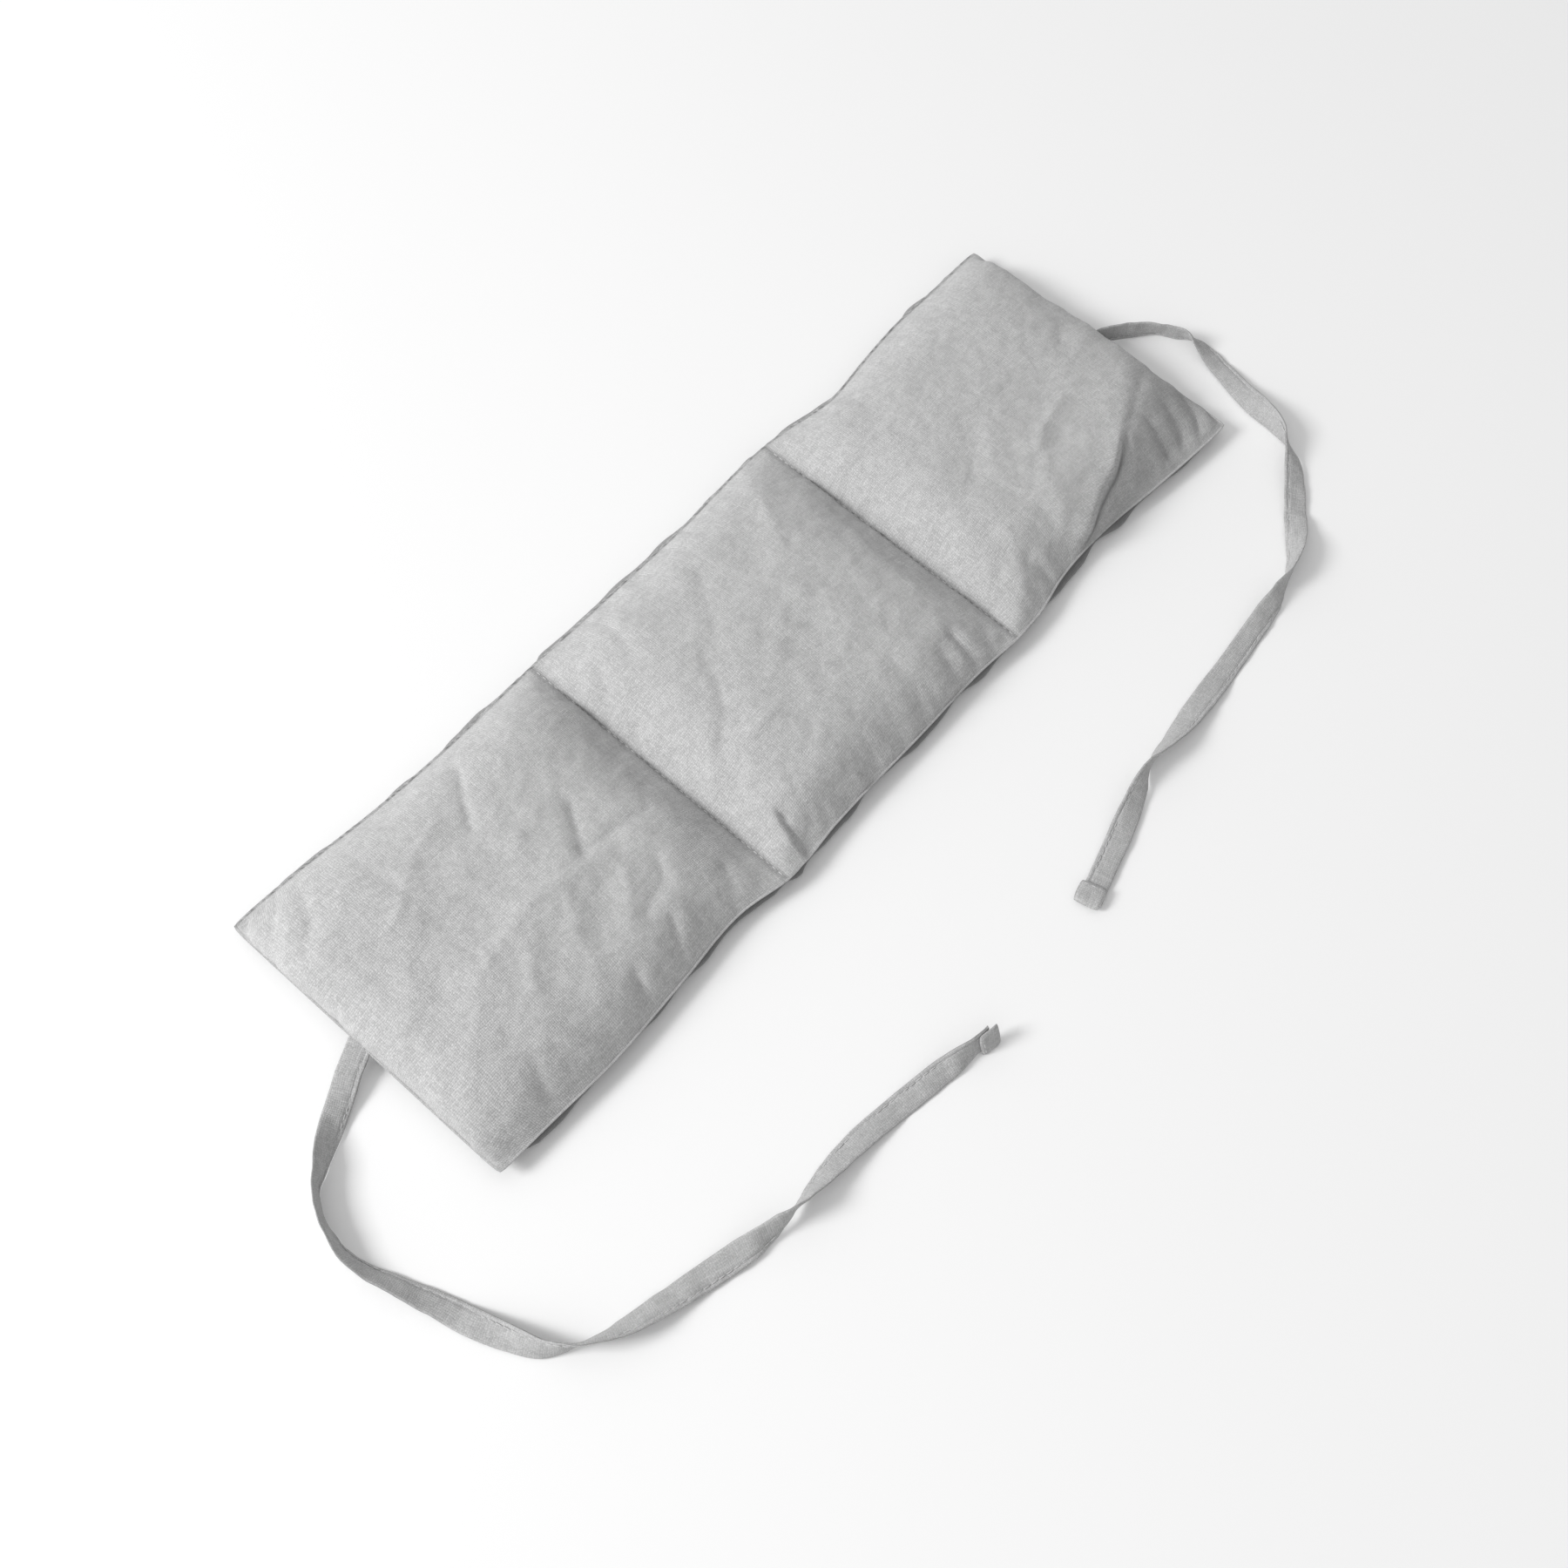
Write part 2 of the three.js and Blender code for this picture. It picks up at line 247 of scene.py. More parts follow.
def build_weave_group():
    """Plain weave: flat coordinates in, thread height and thread tone out."""
    group = bpy.data.node_groups.new("plain_weave", "ShaderNodeTree")
    add_socket(group, "Flat", "NodeSocketVector", "INPUT")
    add_socket(group, "Threads per metre", "NodeSocketFloat", "INPUT", 1300.0)
    add_socket(group, "Height", "NodeSocketFloat", "OUTPUT")
    add_socket(group, "Tone", "NodeSocketFloat", "OUTPUT")
    add_socket(group, "Slub", "NodeSocketFloat", "OUTPUT")
    start = group.nodes.new("NodeGroupInput")
    end = group.nodes.new("NodeGroupOutput")
    link = group.links.new

    # The threads wander a little, so the grid is bent by a slow noise before it is cut up.
    wander = noise_node(group, start.outputs["Flat"], WANDER_SCALE, 2.0)
    wander = math_node(group, "MULTIPLY", math_node(group, "SUBTRACT", wander, 0.5), WANDER_SIZE)
    jitter = noise_node(group, start.outputs["Flat"], JITTER_SCALE, 2.0, 0.7)
    jitter = math_node(group, "MULTIPLY", math_node(group, "SUBTRACT", jitter, 0.5), JITTER_SIZE)
    wander = math_node(group, "ADD", wander, jitter)
    split = group.nodes.new("ShaderNodeSeparateXYZ")
    link(start.outputs["Flat"], split.inputs[0])
    threads = start.outputs["Threads per metre"]
    warp_line = math_node(group, "MULTIPLY_ADD", split.outputs["X"], threads, wander)
    weft_line = math_node(group, "MULTIPLY_ADD", split.outputs["Y"], threads, wander)

    # A thread is round: high in its middle and low where it meets the next.
    def dome(line):
        wave = math_node(group, "SINE", math_node(group, "MULTIPLY", line, math.pi))
        return math_node(group, "ABSOLUTE", wave)

    warp_wave = math_node(group, "SINE", math_node(group, "MULTIPLY", warp_line, math.pi))
    weft_wave = math_node(group, "SINE", math_node(group, "MULTIPLY", weft_line, math.pi))
    over = math_node(group, "MULTIPLY", warp_wave, weft_wave)
    over = math_node(group, "MULTIPLY_ADD", over, 0.5, 0.5)
    under = math_node(group, "SUBTRACT", 1.0, over)
    warp_height = math_node(group, "MULTIPLY", dome(warp_line), over)
    weft_height = math_node(group, "MULTIPLY", dome(weft_line), under)
    height = math_node(group, "MAXIMUM", warp_height, weft_height)

    # Each thread has its own tone, which changes slowly along its length.
    def thread_tone(across, along, seed):
        number = math_node(group, "FLOOR", across)
        slow = math_node(group, "MULTIPLY", along, TONE_LENGTH)
        place = combine_node(group, math_node(group, "MULTIPLY", number, 0.73), slow, seed)
        return noise_node(group, place, 1.0, 1.0)

    warp_tone = thread_tone(warp_line, weft_line, 3.1)
    weft_tone = thread_tone(weft_line, warp_line, 8.7)
    tone = math_node(group, "ADD", math_node(group, "MULTIPLY", warp_tone, over),
                     math_node(group, "MULTIPLY", weft_tone, under))

    # A slub is a short stretch of thick yarn: only the peaks of a stretched noise.
    weft_long = math_node(group, "MULTIPLY", warp_line, SLUB_STRETCH)
    weft_stretch = combine_node(group, weft_long, weft_line, 1.0)
    warp_long = math_node(group, "MULTIPLY", weft_line, SLUB_STRETCH)
    warp_stretch = combine_node(group, warp_line, warp_long, 6.0)
    slub_weft = noise_node(group, weft_stretch, SLUB_SCALE, 1.0)
    slub_warp = noise_node(group, warp_stretch, SLUB_SCALE, 1.0)
    peak = math_node(group, "MAXIMUM", slub_weft, slub_warp)
    slub = math_node(group, "SUBTRACT", peak, SLUB_FROM)
    slub = math_node(group, "MULTIPLY", slub, SLUB_GAIN)
    clamp = group.nodes.new("ShaderNodeClamp")
    link(slub, clamp.inputs["Value"])
    link(clamp.outputs[0], end.inputs["Slub"])
    raised = math_node(group, "MULTIPLY_ADD", clamp.outputs[0], SLUB_LIFT, height)
    link(raised, end.inputs["Height"])
    fleck = noise_node(group, start.outputs["Flat"], FLECK_SCALE, 1.0)
    fleck = math_node(group, "SUBTRACT", fleck, 0.5)
    link(math_node(group, "MULTIPLY_ADD", fleck, FLECK_SIZE, tone), end.inputs["Tone"])
    return group


weave_group = build_weave_group()
print("weave group with", len(weave_group.nodes), "nodes")

# %% [markdown]
# ## Cloth, thread and grain
#
# The cloth material mixes three greys by the weave's tone, paints shade into the gaps between the
# threads, and raises the threads with a bump. It also paints shade into seams and folds from a
# mesh attribute. Linen has a faint bloom of loose fibre on it, so the shader gets a little sheen.
# The sewing thread is smoother and a touch lighter, with the twist of its plies as a bump. The
# grain is never seen from outside, but it still gets its own husk colours.

# %% The cloth material
FLAT = "flat"  # the mesh attribute that holds the cloth's flat coordinates
SHADE = "shade"  # and the one that holds painted shade in seams, folds and the slack corner


def mix_colour(tree, factor, first, second, blend="MIX"):
    node = tree.nodes.new("ShaderNodeMix")
    node.data_type = "RGBA"
    node.blend_type = blend
    if isinstance(factor, (int, float)):
        node.inputs["Factor"].default_value = factor
    else:
        tree.links.new(factor, node.inputs["Factor"])
    for socket, value in ((node.inputs[6], first), (node.inputs[7], second)):
        if isinstance(value, tuple):
            socket.default_value = value
        else:
            tree.links.new(value, socket)
    return node.outputs[2]


def map_range(tree, value, low, high, to_low, to_high):
    node = tree.nodes.new("ShaderNodeMapRange")
    tree.links.new(value, node.inputs["Value"])
    for name, number in (("From Min", low), ("From Max", high),
                         ("To Min", to_low), ("To Max", to_high)):
        node.inputs[name].default_value = number
    return node.outputs["Result"]


def grey(value, warmth=0.0):
    return (value * (1 + warmth), value, value * (1 - warmth), 1.0)


DARK_THREAD, PALE_THREAD = 0.45, 0.62  # the two greys that the weave's tone runs between
MOTTLE_GREY = 0.38  # slow patches of wear
GAP_GREY = 0.24  # painted shade between threads
PAINTED_SHADE_GREY = 0.10  # painted shade deep in a seam or a fold
CRUMPLE_BUMP = 0.35 * MM
SHEEN = 0.18
THREADS_PER_METRE = 1350.0


def build_cloth(name, threads_per_metre, bump_height, tone=1.0):
    material = bpy.data.materials.new(name)
    material.use_nodes = True
    tree = material.node_tree
    shader = tree.nodes["Principled BSDF"]
    flat = tree.nodes.new("ShaderNodeAttribute")
    flat.attribute_name = FLAT
    weave = tree.nodes.new("ShaderNodeGroup")
    weave.node_tree = weave_group
    weave.inputs["Threads per metre"].default_value = threads_per_metre
    tree.links.new(flat.outputs["Vector"], weave.inputs["Flat"])

    body = mix_colour(tree, map_range(tree, weave.outputs["Tone"], 0.3, 0.7, 0, 1),
                      grey(DARK_THREAD * tone), grey(PALE_THREAD * tone))
    mottle = noise_node(tree, flat.outputs["Vector"], 55.0, 4.0, 0.6)
    worn = map_range(tree, mottle, 0.35, 0.65, 0.0, 0.10)
    body = mix_colour(tree, worn, body, grey(MOTTLE_GREY))
    slub = map_range(tree, weave.outputs["Slub"], 0, 1, 0, 0.4)
    body = mix_colour(tree, slub, body, grey(PALE_THREAD))
    # Painted shade in the gaps between the threads.
    gap = map_range(tree, weave.outputs["Height"], 0.15, 0.75, 0.36, 0.0)
    body = mix_colour(tree, gap, body, grey(GAP_GREY))
    # Painted shade from the mesh's shade attribute: seams, folds, lips and the slack corner.
    painted_shade = tree.nodes.new("ShaderNodeAttribute")
    painted_shade.attribute_name = SHADE
    body = mix_colour(tree, painted_shade.outputs["Fac"], body, grey(PAINTED_SHADE_GREY))
    tree.links.new(body, shader.inputs["Base Color"])
    rough = map_range(tree, weave.outputs["Height"], 0.0, 1.0, 0.98, 0.84)
    tree.links.new(rough, shader.inputs["Roughness"])
    shader.inputs["Sheen Weight"].default_value = SHEEN
    shader.inputs["Sheen Roughness"].default_value = 0.5
    shader.inputs["Specular IOR Level"].default_value = 0.25

    crumple = noise_node(tree, flat.outputs["Vector"], 170.0, 3.0, 0.6)
    height = math_node(tree, "MULTIPLY", weave.outputs["Height"], bump_height)
    height = math_node(tree, "MULTIPLY_ADD", crumple, CRUMPLE_BUMP, height)
    bump = tree.nodes.new("ShaderNodeBump")
    bump.inputs["Strength"].default_value = 1.0
    bump.inputs["Distance"].default_value = 1.0
    tree.links.new(height, bump.inputs["Height"])
    tree.links.new(bump.outputs["Normal"], shader.inputs["Normal"])
    return material


cloth = build_cloth("linen_cloth", THREADS_PER_METRE, 0.11 * MM)
TAPE_TONE = 0.88  # the ties are a touch darker than the pad
tape_cloth = build_cloth("linen_tape", THREADS_PER_METRE, 0.10 * MM, TAPE_TONE)
print("cloth materials:", cloth.name, tape_cloth.name)

# %% The thread and grain materials
def build_thread(name):
    material = bpy.data.materials.new(name)
    material.use_nodes = True
    tree = material.node_tree
    shader = tree.nodes["Principled BSDF"]
    flat = tree.nodes.new("ShaderNodeAttribute")
    flat.attribute_name = FLAT
    ply = tree.nodes.new("ShaderNodeTexWave")
    ply.bands_direction = "DIAGONAL"
    ply.inputs["Scale"].default_value = 900.0
    ply.inputs["Distortion"].default_value = 0.6
    tree.links.new(flat.outputs["Vector"], ply.inputs["Vector"])
    twist = mix_colour(tree, ply.outputs["Fac"], grey(0.50), grey(0.66))
    tree.links.new(twist, shader.inputs["Base Color"])
    bump = tree.nodes.new("ShaderNodeBump")
    bump.inputs["Strength"].default_value = 0.6
    bump.inputs["Distance"].default_value = 0.1 * MM
    tree.links.new(ply.outputs["Fac"], bump.inputs["Height"])
    tree.links.new(bump.outputs["Normal"], shader.inputs["Normal"])
    shader.inputs["Roughness"].default_value = 0.7
    shader.inputs["Sheen Weight"].default_value = 0.1
    return material


DARK_HUSK = (0.36, 0.23, 0.11, 1)
PALE_HUSK = (0.62, 0.46, 0.26, 1)
KERNELS_PER_METRE = 320.0


def build_grain(name):
    material = bpy.data.materials.new(name)
    material.use_nodes = True
    tree = material.node_tree
    shader = tree.nodes["Principled BSDF"]
    place = tree.nodes.new("ShaderNodeTexCoord").outputs["Object"]
    kernels = tree.nodes.new("ShaderNodeTexVoronoi")
    kernels.inputs["Scale"].default_value = KERNELS_PER_METRE
    tree.links.new(place, kernels.inputs["Vector"])
    kernel = map_range(tree, kernels.outputs["Color"], 0.0, 1.0, 0.0, 1.0)
    husk = mix_colour(tree, kernel, DARK_HUSK, PALE_HUSK)
    tree.links.new(husk, shader.inputs["Base Color"])
    shader.inputs["Roughness"].default_value = 0.6
    bump = tree.nodes.new("ShaderNodeBump")
    bump.inputs["Distance"].default_value = 0.8 * MM
    bump.invert = True
    tree.links.new(kernels.outputs["Distance"], bump.inputs["Height"])
    tree.links.new(bump.outputs["Normal"], shader.inputs["Normal"])
    return material


thread = build_thread("sewing_thread")
grain = build_grain("dry_grain")
print("thread and grain materials ready")

# %% [markdown]
# ## Sewing the casing flat
#
# The real casing starts as two flat pieces of cloth, sewn round the edge and across the
# channels, and the filling lifts them apart. The simulation starts the same way: two
# grids that share their points along every seam. The cloth's rest shape is a little larger
# than the space it lies in, as a sewn casing is before it is filled, and that spare
# cloth is what the creases are made of.

# %% Grid lines of the sewn casing
CELL = 2.7 * MM
SPARE_CLOTH = 1.04  # the flat cut over the filled size
START_RISE = 12 * MM
START_DROP = 5.5 * MM
SWELL_LENGTH = 45 * MM


def steps_between(low, high):
    """Grid lines from low up to, but not including, high."""
    count = round((high - low) / CELL)
    return [low + (high - low) * k / count for k in range(count)]


long_lines = np.array(
    steps_between(PAD_START, NEAR_CHANNEL)
    + steps_between(NEAR_CHANNEL, FAR_CHANNEL)
    + steps_between(FAR_CHANNEL, PAD_END)
    + [PAD_END]
)
wide_lines = np.array(steps_between(-HALF_WIDTH, HALF_WIDTH) + [HALF_WIDTH])
near_line = int(np.argmin(abs(long_lines - NEAR_CHANNEL)))
far_line = int(np.argmin(abs(long_lines - FAR_CHANNEL)))


def swell(distance, length):
    """0 at a seam, 1 once the cloth has fully risen."""
    part = np.clip(distance / length, 0, 1)
    return 1 - (1 - part) ** 2


def chamber_swell(x, y, length):
    """The height of a filled chamber, 0 on every seam and 1 on its crown."""
    ends = [PAD_START, NEAR_CHANNEL, FAR_CHANNEL, PAD_END]
    total = np.zeros(np.broadcast(x, y).shape)
    for low, high in zip(ends, ends[1:]):
        inside = (x >= low) & (x <= high)
        shape = swell(x - low, length) * swell(high - x, length)
        total = np.where(inside, shape * swell(HALF_WIDTH - abs(y), length), total)
    return total


grid_x, grid_y = np.meshgrid(long_lines, wide_lines, indexing="ij")
start_swell = chamber_swell(grid_x, grid_y, SWELL_LENGTH)
start_top = np.stack([grid_x, grid_y, SEAM_HEIGHT + START_RISE * start_swell], axis=-1)
start_bottom = np.stack([grid_x, grid_y, SEAM_HEIGHT - START_DROP * start_swell], axis=-1)
print("casing grid", grid_x.shape)

# %% [markdown]
# ## Filling the casing
#
# Loose grain takes up a fixed volume and pushes the cloth outwards, so the cloth
# simulation runs with a pressure that holds a target volume. The pad lies on a floor while
# it fills, which flattens the underside. Two dozen frames are enough for the cloth to find
# its folds. The result is read back as plain points and the simulation is thrown away.

# %% Simulate the filling
FILL_VOLUME = 0.00060  # cubic metres
FILL_FRAMES = 24
POINT_MASS = 0.001  # kilograms at each point of the cloth
STRETCH_STIFFNESS = 30
SHEAR_STIFFNESS = 10
BEND_STIFFNESS = 0.3
CLOTH_DAMPING = 10
AIR_DAMPING = 3
PRESSURE_FACTOR = 200  # how hard the filling holds its volume
GRAVITY_SHARE = 0.01  # the filling carries the cloth, so its own weight hardly counts


def casing_mesh(top, bottom):
    """The two grids as one mesh that shares its points on the seams."""
    columns, rows = top.shape[:2]
    seam = np.zeros((columns, rows), bool)
    seam[[0, -1], :] = True
    seam[:, [0, -1]] = True
    seam[[near_line, far_line], :] = True
    top_index = np.arange(columns * rows).reshape(columns, rows)
    bottom_index = top_index.copy()
    free = ~seam
    bottom_index[free] = columns * rows + np.arange(free.sum())
    points = np.concatenate([top.reshape(-1, 3), bottom[free]])
    faces = []
    for index, flip in ((top_index, False), (bottom_index, True)):
        quads = np.stack([index[:-1, :-1], index[1:, :-1], index[1:, 1:], index[:-1, 1:]], axis=-1)
        quads = quads.reshape(-1, 4)
        faces.append(quads[:, ::-1] if flip else quads)
    quads = np.concatenate(faces)
    mesh = bpy.data.meshes.new("casing")
    mesh.from_pydata(points.tolist(), [], quads.tolist())
    return mesh, top_index, bottom_index


def fill_casing(top, bottom):
    """Runs the cloth simulation and gives back the two grids' new points."""
    mesh, top_index, bottom_index = casing_mesh(top, bottom)
    casing = bpy.data.objects.new("casing", mesh)
    bpy.context.scene.collection.objects.link(casing)
    casing.shape_key_add(name="placed")
    flat_key = casing.shape_key_add(name="flat_cut")
    flat_points = np.empty((len(mesh.vertices), 3))
    flat_points[top_index] = np.stack(
        [grid_x * SPARE_CLOTH, grid_y * SPARE_CLOTH, np.full_like(grid_x, SEAM_HEIGHT)], axis=-1)
    flat_points[bottom_index] = flat_points[top_index]
    flat_key.data.foreach_set("co", flat_points.ravel())

    modifier = casing.modifiers.new("fill", "CLOTH")
    settings = modifier.settings
    settings.quality = 8
    settings.mass = POINT_MASS
    settings.tension_stiffness = settings.compression_stiffness = STRETCH_STIFFNESS
    settings.shear_stiffness = SHEAR_STIFFNESS
    settings.bending_model = "ANGULAR"
    settings.bending_stiffness = BEND_STIFFNESS
    settings.tension_damping = settings.compression_damping = CLOTH_DAMPING
    settings.shear_damping = CLOTH_DAMPING
    settings.air_damping = AIR_DAMPING
    settings.rest_shape_key = flat_key
    settings.use_pressure = True
    settings.uniform_pressure_force = 0
    settings.use_pressure_volume = True
    settings.target_volume = FILL_VOLUME
    settings.pressure_factor = PRESSURE_FACTOR
    settings.effector_weights.gravity = GRAVITY_SHARE
    modifier.collision_settings.distance_min = MM
    modifier.collision_settings.use_self_collision = False

    table_mesh = bpy.data.meshes.new("table")
    table_mesh.from_pydata([(x, y, -MM) for x, y in corners], [], [(0, 1, 2, 3)])
    table = bpy.data.objects.new("table", table_mesh)
    bpy.context.scene.collection.objects.link(table)
    table.modifiers.new("solid", "COLLISION")
    table.collision.thickness_outer = MM

    scene = bpy.context.scene
    modifier.point_cache.frame_start = 1
    modifier.point_cache.frame_end = FILL_FRAMES
    for step in range(1, FILL_FRAMES + 1):
        scene.frame_set(step)
    filled = casing.evaluated_get(bpy.context.evaluated_depsgraph_get()).data
    points = np.empty(len(filled.vertices) * 3)
    filled.vertices.foreach_get("co", points)
    points = points.reshape(-1, 3)
    result = points[top_index].copy(), points[bottom_index].copy()
    scene.frame_set(1)
    for helper in (casing, table):
        data = helper.data
        bpy.data.objects.remove(helper)
        bpy.data.meshes.remove(data)
    return result


top_grid, bottom_grid = fill_casing(start_top, start_bottom)
print(f"filled casing: top {top_grid[..., 2].max() / MM:.1f} mm, "
      f"underside {bottom_grid[..., 2].min() / MM:.1f} mm")

# %% [markdown]
# ## A finer grid
#
# The simulation's cells are too coarse for sharp puckers, so each chamber's grid is
# doubled with a four-point rule that passes through the old points. The channels are sharp
# valleys, so the rule never reaches across one: each chamber is refined by itself.

# %% Double the grid, chamber by chamber
def doubled(grid):
    """Twice the cells along the first axis, on a smooth curve through the old points."""
    before = np.concatenate([2 * grid[:1] - grid[1:2], grid[:-2], grid[-3:-2]])[: len(grid) - 1]
    after = np.concatenate([grid[2:], 2 * grid[-1:] - grid[-2:-1]])
    middle = (9 * (grid[:-1] + grid[1:]) - before - after) / 16
    result = np.empty((2 * len(grid) - 1,) + grid.shape[1:])
    result[::2] = grid
    result[1::2] = middle
    return result


def refined(grid):
    """Both directions, with the channels kept sharp."""
    cuts = [0, near_line, far_line, len(grid) - 1]
    parts = [doubled(grid[low:high + 1]) for low, high in zip(cuts, cuts[1:])]
    joined = np.concatenate([parts[0], parts[1][1:], parts[2][1:]])
    return np.moveaxis(doubled(np.moveaxis(joined, 1, 0)), 0, 1)


top_fine = refined(top_grid)
bottom_fine = refined(bottom_grid)
flat_fine = refined(np.stack([grid_x, grid_y], axis=-1))
near_fine, far_fine = 2 * near_line, 2 * far_line
flat_x, flat_y = flat_fine[..., 0], flat_fine[..., 1]
print("fine grid", top_fine.shape[:2])

# %% [markdown]
# ## The pad's outline
#
# Filling pulls the long sides in between the corners, and not evenly: the far chamber's
# sides are drawn in by five or six millimetres, and the right side bulges a little past
# the straight line in two places. The simulated outline is steered to these amounts, and
# a share of the small waves that the simulation made in the seam is kept.

# %% Steer the outline
# Along the pad in millimetres, and how far the seam lies inside the straight edge there.
LEFT_PULL = [(-208, 0.8), (-173, 2.2), (-146, 4.4), (-113, 5.4), (-66, 4.6), (-19, 4.4),
             (21, 4.0), (62, 2.0), (80, 2.6), (110, 6.4), (133, 3.6), (155, 1.4),
             (180, 1.2), (208, 0.8)]
RIGHT_PULL = [(-208, 0.6), (-185, 0.2), (-156, -0.8), (-118, 1.2), (-83, 3.2),
              (-60, -0.8), (-34, 0.9), (15, 1.2), (54, 1.4), (73, 0), (87, 0.6),
              (106, 4.2), (136, 5.0), (165, 2.2), (190, 0.2), (208, -0.6)]


def smooth_through(places, points):
    """A smooth curve through a few points, with level tangents at each end."""
    xs = np.array([p[0] for p in points], float) * MM
    ys = np.array([p[1] for p in points], float) * MM
    slopes = np.gradient(ys, xs)
    slopes[[0, -1]] = 0
    k = np.clip(np.searchsorted(xs, places) - 1, 0, len(xs) - 2)
    width = xs[k + 1] - xs[k]
    t = np.clip((places - xs[k]) / width, 0, 1)
    return (
        (2 * t**3 - 3 * t**2 + 1) * ys[k]
        + (t**3 - 2 * t**2 + t) * width * slopes[k]
        + (3 * t**2 - 2 * t**3) * ys[k + 1]
        + (t**3 - t**2) * width * slopes[k + 1]
    )


def running_mean(values, reach):
    padded = np.concatenate([np.full(reach, values[0]), values, np.full(reach, values[-1])])
    return np.convolve(padded, np.ones(2 * reach + 1) / (2 * reach + 1), mode="valid")


WAVE_REACH = 9  # grid cells; waves shorter than this are kept
WAVE_KEPT = 0.35  # the share of them that is kept
NEAR_END_IN = 2.4 * MM  # the near seam lies this far inside the straight end
# Across the far end, and how far the seam lies outside the straight end there.
FAR_END_OUT = [(-65, 1.4), (-54, 1.3), (-40, 0), (-20, -1), (0, -1.2), (40, -1.6), (65, 0)]


def steer_sides(top, bottom):
    """Moves every column across so that its seam points meet the wanted outline."""
    columns = flat_x[:, 0]
    for sign, row, pulls in ((-1, 0, RIGHT_PULL), (1, -1, LEFT_PULL)):
        found = top[:, row, 1] * sign
        waves = (found - running_mean(found, WAVE_REACH)) * WAVE_KEPT
        wanted = HALF_WIDTH - smooth_through(columns, pulls) + waves
        factor = (wanted / found)[:, None]
        for grid in (top, bottom):
            on_side = grid[..., 1] * sign > 0
            grid[..., 1] = np.where(on_side, grid[..., 1] * factor, grid[..., 1])


def steer_ends(top, bottom):
    """Straightens the short ends, and puts each channel back on its fold line."""
    wanted = [PAD_START + NEAR_END_IN, NEAR_CHANNEL, FAR_CHANNEL,
              PAD_END + smooth_through(flat_y[0], FAR_END_OUT)]
    lines = [0, near_fine, far_fine, len(top) - 1]
    found = [top[line, :, 0].copy() for line in lines]
    for grid in (top, bottom):
        x = grid[..., 0].copy()
        for k in range(3):
            low, high = lines[k], lines[k + 1]
            part = slice(low, high + 1) if k == 0 else slice(low + 1, high + 1)
            share = (x[part] - found[k]) / (found[k + 1] - found[k])
            grid[part, :, 0] = wanted[k] + share * (wanted[k + 1] - wanted[k])


CORNER_BLUNT = 0.4 * MM
CORNER_REACH = 4 * MM


def blunt_corners(top, bottom):
    """A turned corner is never sharp: each one is pulled in along its diagonal."""
    for end, inward in ((PAD_START, 1), (PAD_END, -1)):
        for side in (-1, 1):
            away = abs(flat_x - end) + abs(flat_y - side * HALF_WIDTH)
            pull = CORNER_BLUNT * np.exp(-away / CORNER_REACH)
            for grid in (top, bottom):
                grid[..., 0] += inward * pull
                grid[..., 1] -= side * pull


steer_sides(top_fine, bottom_fine)
steer_ends(top_fine, bottom_fine)
blunt_corners(top_fine, bottom_fine)
print(f"sides now at {top_fine[..., 1].min() / MM:.1f} and "
      f"{top_fine[..., 1].max() / MM:.1f} mm")

# %% [markdown]
# ## Height, seams and thickness
#
# The heights are scaled so that the crown meets the frame's own crown, and the channels
# are drawn down to the fold lines. Where two layers meet in a seam the cloth still has its
# thickness, so the top layer is lifted and the bottom layer lowered there.

# %% Set the heights
LAYER = 0.45 * MM  # half the thickness of a seam
SEAM_REACH = 5 * MM
OUTER_SLOPE = 15 * MM  # how far in from an outer seam the cloth has nearly risen
CHANNEL_SLOPE = 17 * MM
DOME = 0.07  # the share of the height that is a gentle dome across the pad
FINE_SHARE = 0.7  # of the simulation's own small folds
BROAD_SHARE = 0.2  # and of its broad unevenness
BROAD_REACH = 11  # grid cells
EVEN_NEAR_SEAM = 14 * MM  # the unevenness fades out over this distance
SHELVES = 20  # steps of height for which a typical simulated height is found
LOWER_CURVE = 9 * MM  # the lower cloth rises to a seam over this distance
GROOVE_DEPTH = 0.9 * MM
SHOULDER_REACH = 6 * MM  # the gathered cloth beside a channel
GROOVE_REACH = 1.2 * MM  # and the groove that the stitches pull down


def seam_distance(x, y):
    """How far each point is from the nearest seam, in the flat cloth."""
    gaps = [x - PAD_START, abs(x - NEAR_CHANNEL), abs(x - FAR_CHANNEL), PAD_END - x,
            HALF_WIDTH - abs(y)]
    return np.minimum.reduce(gaps)


from_seam = seam_distance(flat_x, flat_y)
from_channel = np.minimum(abs(flat_x - NEAR_CHANNEL), abs(flat_x - FAR_CHANNEL))


def slope_up(distance, length):
    return np.tanh(np.maximum(distance, 0) / length)


def packed_height(x, y):
    """The height of a tightly filled chamber: 0 on a seam, 1 on the flat top."""
    ends = [PAD_START, NEAR_CHANNEL, FAR_CHANNEL, PAD_END]
    shapes = [OUTER_SLOPE, CHANNEL_SLOPE, CHANNEL_SLOPE, OUTER_SLOPE]
    total = np.zeros(x.shape)
    for k in range(3):
        inside = (x >= ends[k]) & (x <= ends[k + 1])
        along = slope_up(x - ends[k], shapes[k]) * slope_up(ends[k + 1] - x, shapes[k + 1])
        total = np.where(inside, along * slope_up(HALF_WIDTH - abs(y), OUTER_SLOPE), total)
    return total * (1 - DOME * (y / HALF_WIDTH) ** 2)


def blurred(grid, reach):
    """A running mean along both directions of a grid."""
    smooth = np.apply_along_axis(running_mean, 0, grid, reach)
    return np.apply_along_axis(running_mean, 1, smooth, reach)


